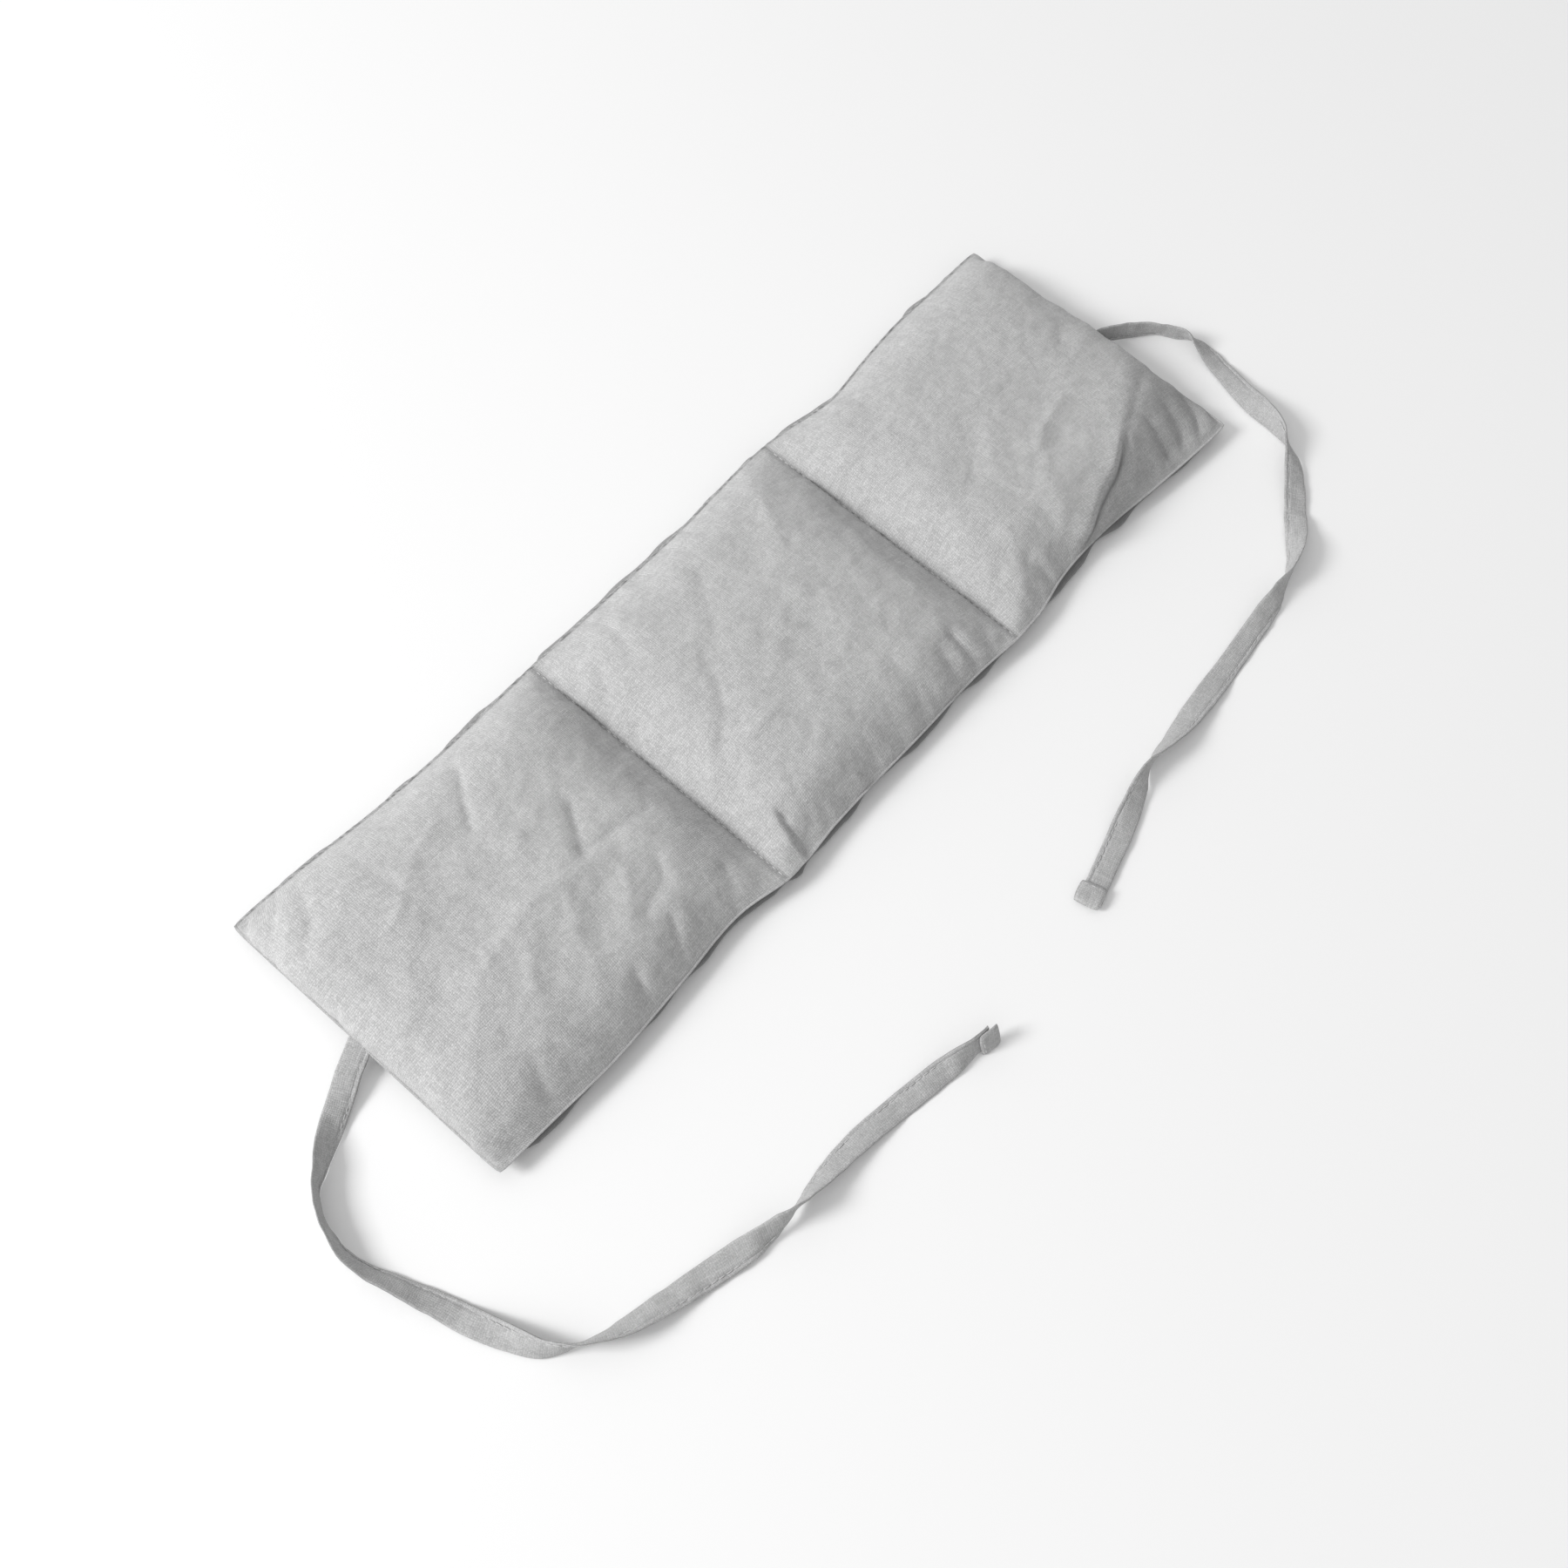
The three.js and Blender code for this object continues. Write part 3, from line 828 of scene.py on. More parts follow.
def set_heights(top, bottom):
    """Packs the chambers tighter than the simulation did, and keeps its uneven folds."""
    packed = packed_height(flat_x, flat_y)
    low, high = bottom[..., 2].min(), top[..., 2].max()
    simulated = (top[..., 2] - low) / (high - low)
    steps = np.linspace(0, 1, SHELVES + 1)
    shelf = np.clip(np.digitize(packed, steps) - 1, 0, SHELVES - 1)
    typical = np.array([simulated[shelf == k].mean() for k in range(SHELVES)])
    unevenness = simulated - np.interp(packed, steps[:-1] + 0.5 / SHELVES, typical)
    broad = blurred(unevenness, BROAD_REACH)
    unevenness = FINE_SHARE * (unevenness - broad) + BROAD_SHARE * broad
    unevenness *= np.clip(from_seam / EVEN_NEAR_SEAM, 0, 1)
    top[..., 2] = SEAM_HEIGHT + (CROWN - SEAM_HEIGHT) * (packed + unevenness)
    bottom[..., 2] = (bottom[..., 2] - low) * SEAM_HEIGHT / (top_grid[0, 0, 2] - low)
    for line in (near_fine, far_fine, 0, len(top) - 1):
        pull = SEAM_HEIGHT - bottom[line, :, 2]
        away = (flat_x - flat_x[line, 0]) / LOWER_CURVE
        bottom[..., 2] += np.exp(-away ** 2) * pull[None, :]
    for row in (0, -1):
        pull = SEAM_HEIGHT - bottom[:, row, 2]
        away = (flat_y - flat_y[0, row]) / LOWER_CURVE
        bottom[..., 2] += np.exp(-away ** 2) * pull[:, None]
    spread = LAYER * np.exp(-from_seam / SEAM_REACH)
    top[..., 2] += spread
    shoulder = np.exp(-from_channel / SHOULDER_REACH)
    top[..., 2] += GROOVE_DEPTH * (shoulder - np.exp(-from_channel / GROOVE_REACH))
    bottom[..., 2] -= spread
    bottom[..., 2] = np.maximum(bottom[..., 2], FLOOR_GAP)


set_heights(top_fine, bottom_fine)
print(f"crown {top_fine[..., 2].max() / MM:.1f} mm")

# %% [markdown]
# ## Creases and puckers
#
# The cloth keeps a memory of how it was handled: broad creases on the near chamber, fine
# ones along the right side, and on the far chamber a fan of them round a slack corner.
# Each is a short line on the top cloth with a depth and a width. Round every
# seam the cloth is gathered by the stitching, so it puckers at right angles to the seam,
# and the puckers die away within a finger's width. The grain adds soft lumps everywhere.

# %% Random lumps
def lumps(x, y, cell_x, cell_y, seed):
    """Smooth random values from -1 to 1, about one bump to a cell."""
    table = np.random.default_rng(seed).uniform(-1, 1, (128, 128))
    across, along = x / cell_x, y / cell_y
    i, j = np.floor(across).astype(int), np.floor(along).astype(int)
    s, t = across - i, along - j
    s, t = s * s * (3 - 2 * s), t * t * (3 - 2 * t)
    corner = [table[(i + a) % 128, (j + b) % 128] for a in (0, 1) for b in (0, 1)]
    low = (1 - t) * corner[0] + t * corner[1]
    high = (1 - t) * corner[2] + t * corner[3]
    return (1 - s) * low + s * high


# %% The list of creases
# Points along each crease in millimetres, its depth (minus is a valley) and its width.
CREASES = [
    ([(-115, 50), (-123, 38), (-129, 27)], -1.9, 3.0),
    ([(-137, 38), (-151, 34), (-171, 19)], 1.0, 4.0),
    ([(-132, 24), (-125, 16), (-110, -11)], 0.7, 3.5),
    ([(-98, 7), (-110, -11)], -1.6, 3.0),
    ([(-110, -11), (-80, -15)], -1.4, 3.0),
    ([(-161, -15), (-133, -10), (-108, -16)], 1.3, 3.5),
    ([(-165, 49), (-162, 30)], -0.9, 4.0),
    ([(-183, 55), (-187, 42), (-195, 36)], -1.5, 3.0),
    ([(-190, 60), (-197, 49)], -1.2, 2.5),
    ([(-92, -31), (-96, -39), (-111, -43)], -1.3, 3.5),
    ([(-105, -51), (-111, -60)], -1.5, 3.0),
    ([(-129, -53), (-131, -62)], -1.7, 3.0),
    ([(-174, -50), (-179, -60)], -1.5, 3.0),
    ([(-76, -49), (-81, -60)], -1.5, 3.0),
    ([(5, 41), (-8, 21), (-16, 10)], -0.8, 5.0),
    ([(-33, 53), (-38, 34)], -1.0, 4.0),
    ([(-50, 41), (-55, 30)], -1.4, 3.0),
    ([(-20, 14), (-31, -8), (-46, -18), (-50, -31)], -1.2, 6.0),
    ([(-22, -23), (-40, -22)], 1.2, 3.0),
    ([(-35, -40), (-41, -60)], -0.9, 3.5),
    ([(-17, -55), (-13, -63)], -1.6, 3.0),
    ([(24, -54), (22, -63)], -1.3, 3.0),
    ([(25, -40), (25, -48)], -0.8, 3.0),
    ([(42, -52), (41, -64)], -1.9, 2.8),
    ([(51, -50), (51, -64)], -1.9, 2.5),
    ([(163, -15), (146, -19), (138, -24)], 1.5, 4.0),
    ([(124, -3), (109, -11), (99, -17)], -0.8, 5.0),
    ([(113, -21), (117, -42), (116, -52)], -1.1, 4.5),
    ([(93, -44), (98, -51)], -1.5, 3.0),
    ([(196, -28), (178, -38), (173, -42)], -1.6, 3.5),
    ([(180, -45), (178, -60)], -2.4, 3.0),
    ([(191, -44), (187, -60)], -2.2, 3.0),
    ([(200, -46), (196, -60)], -2.0, 2.5),
    ([(194, 16), (185, 4)], -1.0, 4.0),
    ([(169, -45), (164, -51), (156, -60)], 2.0, 4.0),
]


def line_distance(x, y, points):
    """Distance to a line through a few points, the side it lies on, and how far along."""
    best = np.full(x.shape, 1e9)
    side = np.zeros(x.shape)
    share = np.zeros(x.shape)
    count = len(points) - 1
    for k in range(count):
        (ax, ay), (bx, by) = (np.array(point) * MM for point in points[k:k + 2])
        dx, dy = bx - ax, by - ay
        t = ((x - ax) * dx + (y - ay) * dy) / (dx * dx + dy * dy)
        held = np.clip(t, 0, 1)
        distance = np.hypot(x - ax - held * dx, y - ay - held * dy)
        closer = distance < best
        best = np.where(closer, distance, best)
        side = np.where(closer, (dx * (y - ay) - dy * (x - ax)) / math.hypot(dx, dy), side)
        share = np.where(closer, (k + t) / count, share)
    return best, side, share


CREASE_STRENGTH = 1.2
SHOULDER_SHARE = 0.42  # the shoulder's height over the crease's depth
SHOULDER_WIDTH = 2.6  # and its width over the crease's


def crease_heights(x, y):
    """All creases together: sharp along the line, with a low shoulder on each side."""
    total = np.zeros(x.shape)
    for points, depth, width in CREASES:
        distance = line_distance(x, y, points)[0] / (width * MM)
        shoulder = SHOULDER_SHARE * np.exp(-distance / SHOULDER_WIDTH)
        total += CREASE_STRENGTH * depth * MM * (np.exp(-distance) - shoulder)
    return total


# %% [markdown]
# Two of the folds are deeper than a crease. There the cloth has slipped and hangs over in
# a tuck: a bulge on one side, a sharp drop on the other. A tuck moves the cloth sideways
# as well as down, which a height alone can't do.

# %% The tucks
# Points in millimetres; the cloth drops on the left of the line. Then the bulge, the drop,
# the reach of each, and how far the bulge hangs over.
TUCKS = [
    ([(164, -44), (151, -51), (138, -55), (127, -60)], 2.2, 6.5, 12.0, 9.0, 2.8),
    ([(-48, -46), (-50, -55), (-51, -68)], 1.2, 2.0, 8.0, 6.0, 0.0),
]
TUCK_SHADE = 0.62  # painted shade deep in a tuck
SHADE_AT, SHADE_WIDTH = 1.6, 1.9  # millimetres below the line, and how wide the dark is
OVERHANG_WIDTH = 3.5  # millimetres
TUCK_FOLD = 0.7  # millimetres; how sharply the bulge turns into the drop
ROOM_USED = 0.75  # the share of the height above the seam that a drop can take
fold_shade = np.zeros(flat_x.shape)  # painted shade of the folds and the slack corner


def add_tucks(top):
    for points, bulge, drop, bulge_reach, drop_reach, overhang in TUCKS:
        _, side, share = line_distance(flat_x, flat_y, points)
        side = side / MM
        held = np.clip(np.minimum((share + 0.25) / 0.5, (1.35 - share) / 0.4), 0, 1)
        held = held * held * (3 - 2 * held)
        far_side = 0.5 + 0.5 * np.tanh(side / TUCK_FOLD)
        # Painted shade in the tuck's valley, where its own shadow falls.
        dark = np.exp(-((side - SHADE_AT) / SHADE_WIDTH) ** 2)
        dark = TUCK_SHADE * min(overhang, 1) * held * dark
        np.maximum(fold_shade, dark, out=fold_shade)
        rise = (1 - far_side) * bulge * np.exp(-abs(side) / bulge_reach)
        fall = far_side * drop * np.exp(-abs(side) / drop_reach)
        room = np.clip((top[..., 2] - SEAM_HEIGHT) / MM - 0.5, 0, None)
        top[..., 2] += held * (rise - np.minimum(fall, ROOM_USED * room)) * MM
        (ax, ay), (bx, by) = points[0], points[-1]
        length = math.hypot(bx - ax, by - ay)
        push = held * overhang * np.exp(-((side + 1.0) / OVERHANG_WIDTH) ** 2) * MM
        push *= np.clip(from_seam / (3 * MM), 0, 1)
        top[..., 0] += -(by - ay) / length * push
        top[..., 1] += (bx - ax) / length * push


# %% [markdown]
# Beyond the large tuck the far right corner holds no grain. Its cloth hangs from the edge of
# the grain down to the corner in one slack slope, so that part of the top is lowered the
# further it lies from the line where the grain ends.

# %% The slack corner
GRAIN_EDGE = [(164, -43), (206, -14)]  # in millimetres; the corner lies on its right
SLACK_SLOPE = 0.42
SLACK_START = 8 * MM  # the slope sets in over this distance
SLACK_MOST = 0.72  # the share of the height that can be lost
SLACK_SHADE = 0.34  # painted shade on the slack corner


def slacken_corner(top):
    (ax, ay), (bx, by) = GRAIN_EDGE
    length = math.hypot(bx - ax, by - ay)
    beyond = ((by - ay) * (flat_x - ax * MM) - (bx - ax) * (flat_y - ay * MM)) / length
    beyond = np.maximum(beyond, 0)
    fall = SLACK_SLOPE * beyond * (1 - np.exp(-beyond / SLACK_START))
    # Painted shade that deepens away from the grain's edge.
    dark = SLACK_SHADE * np.tanh(beyond / (2 * SLACK_START))
    np.maximum(fold_shade, dark, out=fold_shade)
    height = np.maximum(top[..., 2] - SEAM_HEIGHT, 0.1 * MM)
    top[..., 2] -= SLACK_MOST * height * (1 - np.exp(-fall / (SLACK_MOST * height)))


# %% Apply creases, puckers, lumps and tucks
PUCKER_DEPTH = 2.3 * MM
PUCKER_REACH = 9 * MM
LUMP_DEPTH = 0.8 * MM
CRUMPLE_DEPTH = 0.95 * MM
FINE_DEPTH = 0.2 * MM
PUCKER_FROM = 2 * MM  # puckers set in over this distance from a seam
WAVE_FROM = 5 * MM  # and lumps over this one
CREASE_FROM = 4 * MM
LOWER_SHARE = 0.6  # the lower cloth lies on the table and is smoother


def grid_normals(grid):
    """Unit normals of a grid of points, pointing up for the top cloth."""
    along = np.gradient(grid, axis=0)
    across = np.gradient(grid, axis=1)
    normal = np.cross(along, across)
    return normal / np.linalg.norm(normal, axis=-1, keepdims=True)


def surface_detail(x, y, seed):
    """Puckers near the seams, and lumps and crumples everywhere, as heights."""
    to_side = HALF_WIDTH - abs(y)
    to_cross = np.minimum(x - PAD_START, np.minimum(from_channel, PAD_END - x))

    def puckers(along, into, seed):
        wide = abs(lumps(along, into, 8 * MM, 30 * MM, seed))
        narrow = abs(lumps(along, into, 4 * MM, 14 * MM, seed + 1))
        strength = 0.6 + 0.6 * lumps(along, into, 25 * MM, 400 * MM, seed + 2)
        return (wide + 0.4 * narrow - 0.5) * strength * np.exp(-into / PUCKER_REACH)

    gathered = puckers(x, to_side, seed) + puckers(y, to_cross, seed + 10)
    soft = lumps(x + 0.3 * y, y - 0.3 * x, 27 * MM, 24 * MM, seed + 4)
    crumple = 0.45 - abs(lumps(x - 0.8 * y, y + 0.8 * x, 24 * MM, 31 * MM, seed + 5))
    crumple += 0.5 * (0.45 - abs(lumps(x + 0.5 * y, y - 0.5 * x, 12 * MM, 15 * MM, seed + 6)))
    fine = lumps(x + 0.7 * y, y - 0.7 * x, 6 * MM, 5 * MM, seed + 7)
    rise = np.clip(from_seam / WAVE_FROM, 0, 1)
    waves = LUMP_DEPTH * soft + CRUMPLE_DEPTH * crumple + FINE_DEPTH * fine
    return np.clip(from_seam / PUCKER_FROM, 0, 1) * PUCKER_DEPTH * gathered + rise * waves


edge_fade = np.clip(from_seam / CREASE_FROM, 0, 1)
slacken_corner(top_fine)
calm_places = top_fine[..., :2].copy()  # before the tucks push the cloth sideways
top_move = crease_heights(flat_x, flat_y) * edge_fade + surface_detail(flat_x, flat_y, 11)
top_fine += grid_normals(top_fine) * top_move[..., None]
add_tucks(top_fine)
bottom_move = surface_detail(flat_x, flat_y, 31) * LOWER_SHARE
bottom_fine -= grid_normals(bottom_fine) * bottom_move[..., None]
bottom_fine[..., 2] = np.maximum(bottom_fine[..., 2], FLOOR_GAP)
print(f"{len(CREASES)} creases and {len(TUCKS)} tucks")

# %% [markdown]
# ## The lower cloth's belly
#
# The weight of the grain pushes the lower cloth out past the seam along both long sides,
# so that from above a narrow darker band of it shows beyond the top cloth. The band is
# made by moving the first rows of the lower cloth outwards and down along a round profile;
# its darkness is its own shade, deepened with painted shade when the casing is joined.

# %% Push the lower cloth out
BELLY = [(0, 0, 0), (1.35, 1.2, -0.7), (2.7, 2.1, -1.7), (4.05, 2.3, -2.9), (5.4, 1.7, -4.1),
         (6.75, 0.5, -5.0), (8.1, -0.9, -5.5), (9.5, -2.4, -5.72)]  # in from the seam, out, down
BELLY_FADE = 45 * MM
CORNER_FADE = 16 * MM
CHANNEL_FADE = 7 * MM
BELLY_WAVE = 0.25  # how uneven the band is
BELLY_HEIGHT = 5.75 * MM  # the seam's height over the table that the profile is made for
RIGHT_BELLY = 0.8  # the right side hangs out less than the left
# It hangs out further at these places: along the pad and reach in millimetres, and share.
RIGHT_BULGES = [(-60, 9, 0.5), (122, 26, 0.1)]


def push_belly(bottom):
    inward, outward, down = (np.array(column) * MM for column in zip(*BELLY))
    last = inward[-1]
    hollows = RIGHT_BELLY + sum(
        share * np.exp(-((flat_x - place * MM) / (reach * MM)) ** 2)
        for place, reach, share in RIGHT_BULGES)
    for row, sign, side_strength in ((0, -1, hollows), (-1, 1, 1.0)):
        gap = np.where(flat_y * sign > 0, HALF_WIDTH - flat_y * sign, 1.0)
        shift = np.interp(gap, inward, outward) + gap
        shift = np.where(gap > last, (outward[-1] + last) * np.clip(
            1 - (gap - last) / (BELLY_FADE - last), 0, 1), shift)
        ends = np.clip(np.minimum(flat_x - PAD_START, PAD_END - flat_x) / CORNER_FADE, 0, 1)
        channels = np.clip(from_channel / CHANNEL_FADE, 0, 1)
        strength = side_strength * (0.15 + 0.85 * ends) * (0.6 + 0.4 * channels)
        strength *= 1 + BELLY_WAVE * lumps(flat_x, 0 * flat_x, 13 * MM, 1, 91 + sign)
        seam_z = bottom[:, row, 2][:, None]
        round_z = seam_z + np.interp(gap, inward, down) * (seam_z - FLOOR_GAP) / BELLY_HEIGHT
        near = np.clip((12 * MM - gap) / (4 * MM), 0, 1)
        bottom[..., 1] += sign * shift * strength
        bottom[..., 2] += near * strength * (round_z - bottom[..., 2])


# The top cloth rounds over the short ends and hides their seams from above.
END_ROUND = [(0, 0), (1.35, 0.9), (2.7, 1.4), (4.05, 1.4), (5.4, 1.0), (8.1, -0.4)]  # in, out
END_FADE = 40 * MM
END_STRENGTH = 0.8
END_CORNER = 10 * MM  # the rounding fades out this close to a corner


def round_ends(top):
    inward, outward = (np.array(column) * MM for column in zip(*END_ROUND))
    last = inward[-1]
    inset = np.clip((HALF_WIDTH - abs(flat_y)) / END_CORNER, 0, 1)
    for gap, sign in ((flat_x - PAD_START, -1), (PAD_END - flat_x, 1)):
        shift = np.interp(gap, inward, outward) + gap
        shift = np.where(gap > last, (outward[-1] + last) * np.clip(
            1 - (gap - last) / (END_FADE - last), 0, 1), shift)
        top[..., 0] += sign * shift * inset * END_STRENGTH


round_ends(top_fine)
push_belly(bottom_fine)
bottom_fine[..., 2] = np.maximum(bottom_fine[..., 2], FLOOR_GAP)
print(f"lower cloth reaches {bottom_fine[..., 1].min() / MM:.1f} to "
      f"{bottom_fine[..., 1].max() / MM:.1f} mm")

# %% [markdown]
# ## The cloth pieces
#
# The two grids are joined round the edge by a narrow band: each layer turns in over a soft
# lip, and the seam is the groove between the two lips. The casing is then cut into one
# piece for each chamber. The cuts are made a few millimetres inside the middle chamber,
# so that each end piece carries its own fold. All pieces take their normals from the
# uncut casing, so the cuts don't show.

# %% Join the layers round the edge
# Out and up in millimetres, and the lip's painted shadow there.
LIP_PROFILE = [(0.35, 0.58), (0.95, 0.55), (1.12, 0.28), (0.90, 0.05), (0.15, -0.12),
               (0.45, -0.38)]
LIP_SHADES = [0, 0, 0.15, 0.5, 0.85, 0.5]


def perimeter(columns, rows):
    """Grid places round the edge, anticlockwise from above."""
    places = [(i, 0) for i in range(columns - 1)]
    places += [(columns - 1, j) for j in range(rows - 1)]
    places += [(i, rows - 1) for i in range(columns - 1, 0, -1)]
    places += [(0, j) for j in range(rows - 1, 0, -1)]
    return places


edge_places = perimeter(*top_fine.shape[:2])
edge_i = np.array([place[0] for place in edge_places])
edge_j = np.array([place[1] for place in edge_places])
seam_points = (top_fine[edge_i, edge_j] + bottom_fine[edge_i, edge_j]) / 2


def outward_normals(points):
    """Level unit normals of a closed anticlockwise outline."""
    along = np.roll(points, -1, axis=0) - np.roll(points, 1, axis=0)
    normal = np.stack([along[:, 1], -along[:, 0], np.zeros(len(points))], axis=-1)
    return normal / np.linalg.norm(normal, axis=-1, keepdims=True)


seam_outward = outward_normals(seam_points)
UP = np.array([0, 0, 1.0])
lip_rows = [
    seam_points + seam_outward * (out * MM) + UP * (up * MM)
    for out, up in LIP_PROFILE
]
HOLE_SHADE = 0.9  # painted shade in the stitch holes
RIGHT_UNDER_SHADE = 0.85  # painted shade on the lower cloth under the seam, on each side
LEFT_UNDER_SHADE = 0.55
UNDER_REACH = 9 * MM
SEAM_SHADE = 0.45  # painted shade on the sewn line itself, fading within a millimetre
SEAM_SHADE_REACH = 1.0 * MM
UNDER_OFFSET = 0.5  # metres between the flat places of the two layers, so they differ


def quads_of(index):
    quads = np.stack([index[:-1, :-1], index[1:, :-1], index[1:, 1:], index[:-1, 1:]], axis=-1)
    return quads.reshape(-1, 4)


def lip_shade(value, row):
    """Painted shadow of the lip, less on the ends, and painted shade in the left stitch holes."""
    sides = 0.2 + 0.8 * abs(seam_outward[:, 1])
    holes = np.random.default_rng(40 + row).uniform(0, 1, len(sides)) ** 2
    left = np.clip(seam_outward[:, 1], 0, 1)
    return np.maximum(value * sides, HOLE_SHADE * holes * left)


def whole_casing():
    """Points, quads, flat coordinates and painted shade of the closed casing."""
    count = top_fine.shape[0] * top_fine.shape[1]
    top_index = np.arange(count).reshape(top_fine.shape[:2])
    bottom_index = top_index + count
    rim = len(edge_places)
    loops = [top_index[edge_i, edge_j]]
    loops += [2 * count + k * rim + np.arange(rim) for k in range(len(lip_rows))]
    loops += [bottom_index[edge_i, edge_j]]
    points = np.concatenate([top_fine.reshape(-1, 3), bottom_fine.reshape(-1, 3)] + lip_rows)
    quads = [quads_of(top_index), quads_of(bottom_index)[:, ::-1]]
    for upper, lower in zip(loops, loops[1:]):
        quads.append(np.stack([upper, lower, np.roll(lower, -1), np.roll(upper, -1)], axis=-1))
    flat = flat_fine.reshape(-1, 2)
    rim_flat = flat_fine[edge_i, edge_j]
    rims = [rim_flat + seam_outward[:, :2] * MM * k for k in range(1, len(lip_rows) + 1)]
    flat = np.concatenate([flat, flat + [0.0, UNDER_OFFSET]] + rims)
    # Painted shade: on the sewn channel lines, in the folds, and on the lower cloth under the
    # seams.
    sewn = SEAM_SHADE * np.exp(-from_channel / SEAM_SHADE_REACH)
    top_shade = np.maximum(sewn, fold_shade)
    under = np.where(flat_y < 0, RIGHT_UNDER_SHADE, LEFT_UNDER_SHADE)
    bottom_shade = under * np.exp(-((HALF_WIDTH - abs(flat_y)) / UNDER_REACH) ** 2)
    shade = np.concatenate([top_shade.ravel(), np.maximum(top_shade, bottom_shade).ravel()]
                           + [lip_shade(value, row) for row, value in enumerate(LIP_SHADES)])
    return points, np.concatenate(quads), flat, shade


casing_points, casing_quads, casing_flat, casing_shade = whole_casing()
print("casing:", len(casing_points), "points,", len(casing_quads), "quads")

# %% Cut the casing into chambers
CUT_INSIDE = 15 * MM  # each cut lies this far inside the middle chamber
BEND_REACH = 12 * MM  # each fold span reaches this far either side of a fold line


def new_piece(name, points, faces, material, flat=None, normals=None):
    """A smooth mesh object, with flat cloth coordinates for its weave."""
    mesh = bpy.data.meshes.new(name)
    mesh.from_pydata(np.asarray(points).tolist(), [], [list(face) for face in faces])
    mesh.polygons.foreach_set("use_smooth", [True] * len(mesh.polygons))
    if flat is not None:
        layer = mesh.attributes.new(FLAT, "FLOAT_VECTOR", "POINT")
        values = np.zeros((len(points), 3))
        values[:, : np.shape(flat)[1]] = flat
        layer.data.foreach_set("vector", values.ravel())
    mesh.materials.append(material)
    mesh.update()
    if normals is not None:
        mesh.normals_split_custom_set_from_vertices(np.asarray(normals).tolist())
    piece = bpy.data.objects.new(name, mesh)
    bpy.context.scene.collection.objects.link(piece)
    return piece


def vertex_normals(points, quads):
    """Area-weighted normals of a quad mesh."""
    a, b, c, d = (points[quads[:, k]] for k in range(4))
    face_normal = np.cross(c - a, d - b)
    total = np.zeros_like(points)
    for k in range(4):
        np.add.at(total, quads[:, k], face_normal)
    return total / np.maximum(np.linalg.norm(total, axis=-1, keepdims=True), 1e-12)


casing_normals = vertex_normals(casing_points, casing_quads)
cell_columns = flat_x[:, 0]
near_cut = cell_columns[np.argmin(abs(cell_columns - (NEAR_CHANNEL + CUT_INSIDE)))]
far_cut = cell_columns[np.argmin(abs(cell_columns - (FAR_CHANNEL - CUT_INSIDE)))]
quad_flat_x = casing_flat[casing_quads].mean(axis=1)[:, 0]


def chamber_piece(name, low, high):
    """The part of the casing between two places along the flat cloth."""
    chosen = casing_quads[(quad_flat_x > low) & (quad_flat_x < high)]
    used, renumbered = np.unique(chosen, return_inverse=True)
    piece = new_piece(
        name,
        casing_points[used],
        renumbered.reshape(chosen.shape),
        cloth,
        casing_flat[used],
        casing_normals[used],
    )
    layer = piece.data.attributes.new(SHADE, "FLOAT", "POINT")
    layer.data.foreach_set("value", casing_shade[used])
    return piece


near_cloth = chamber_piece("near_chamber_cloth", -1, near_cut)
middle_cloth = chamber_piece("middle_chamber_cloth", near_cut, far_cut)
far_cloth = chamber_piece("far_chamber_cloth", far_cut, 1)


def at_x(x):
    return (x, 0, SEAM_HEIGHT)


near_fold = (at_x(NEAR_CHANNEL - BEND_REACH), at_x(NEAR_CHANNEL + BEND_REACH))
far_fold = (at_x(FAR_CHANNEL - BEND_REACH), at_x(FAR_CHANNEL + BEND_REACH))
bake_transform(near_cloth)
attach(middle_cloth, "middle")
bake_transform(far_cloth)
for piece, body in ((near_cloth, "near"), (middle_cloth, "middle"), (far_cloth, "far")):
    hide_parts(f"{body}_top_panel", f"{body}_bottom_panel")
    print(piece.name, len(piece.data.polygons), "faces")

# %% [markdown]
# ## The grain inside
#
# Each chamber is filled with loose grain. Nobody sees it, but a part that is cut open or
# rendered without its cover should hold something, so the filling is a real closed body
# that follows the cloth from within, a few millimetres inside it.

# %% Grain fills
FILL_INSET = 3 * MM
FILL_SHARE = 0.85  # of the height of the lowest cloth nearby
FILL_LOOK = 3  # grid cells; how far the lowest cloth is looked for
FILL_SKIP = 8  # grid cells left out beside each outer seam
FOLD_SKIP = 10  # and beside each fold, where the cloth bends
FILL_STRIDE = 2  # every second cell is enough for a body that isn't seen
FILL_LEAST = 0.4 * MM  # the filling is nowhere thinner than this


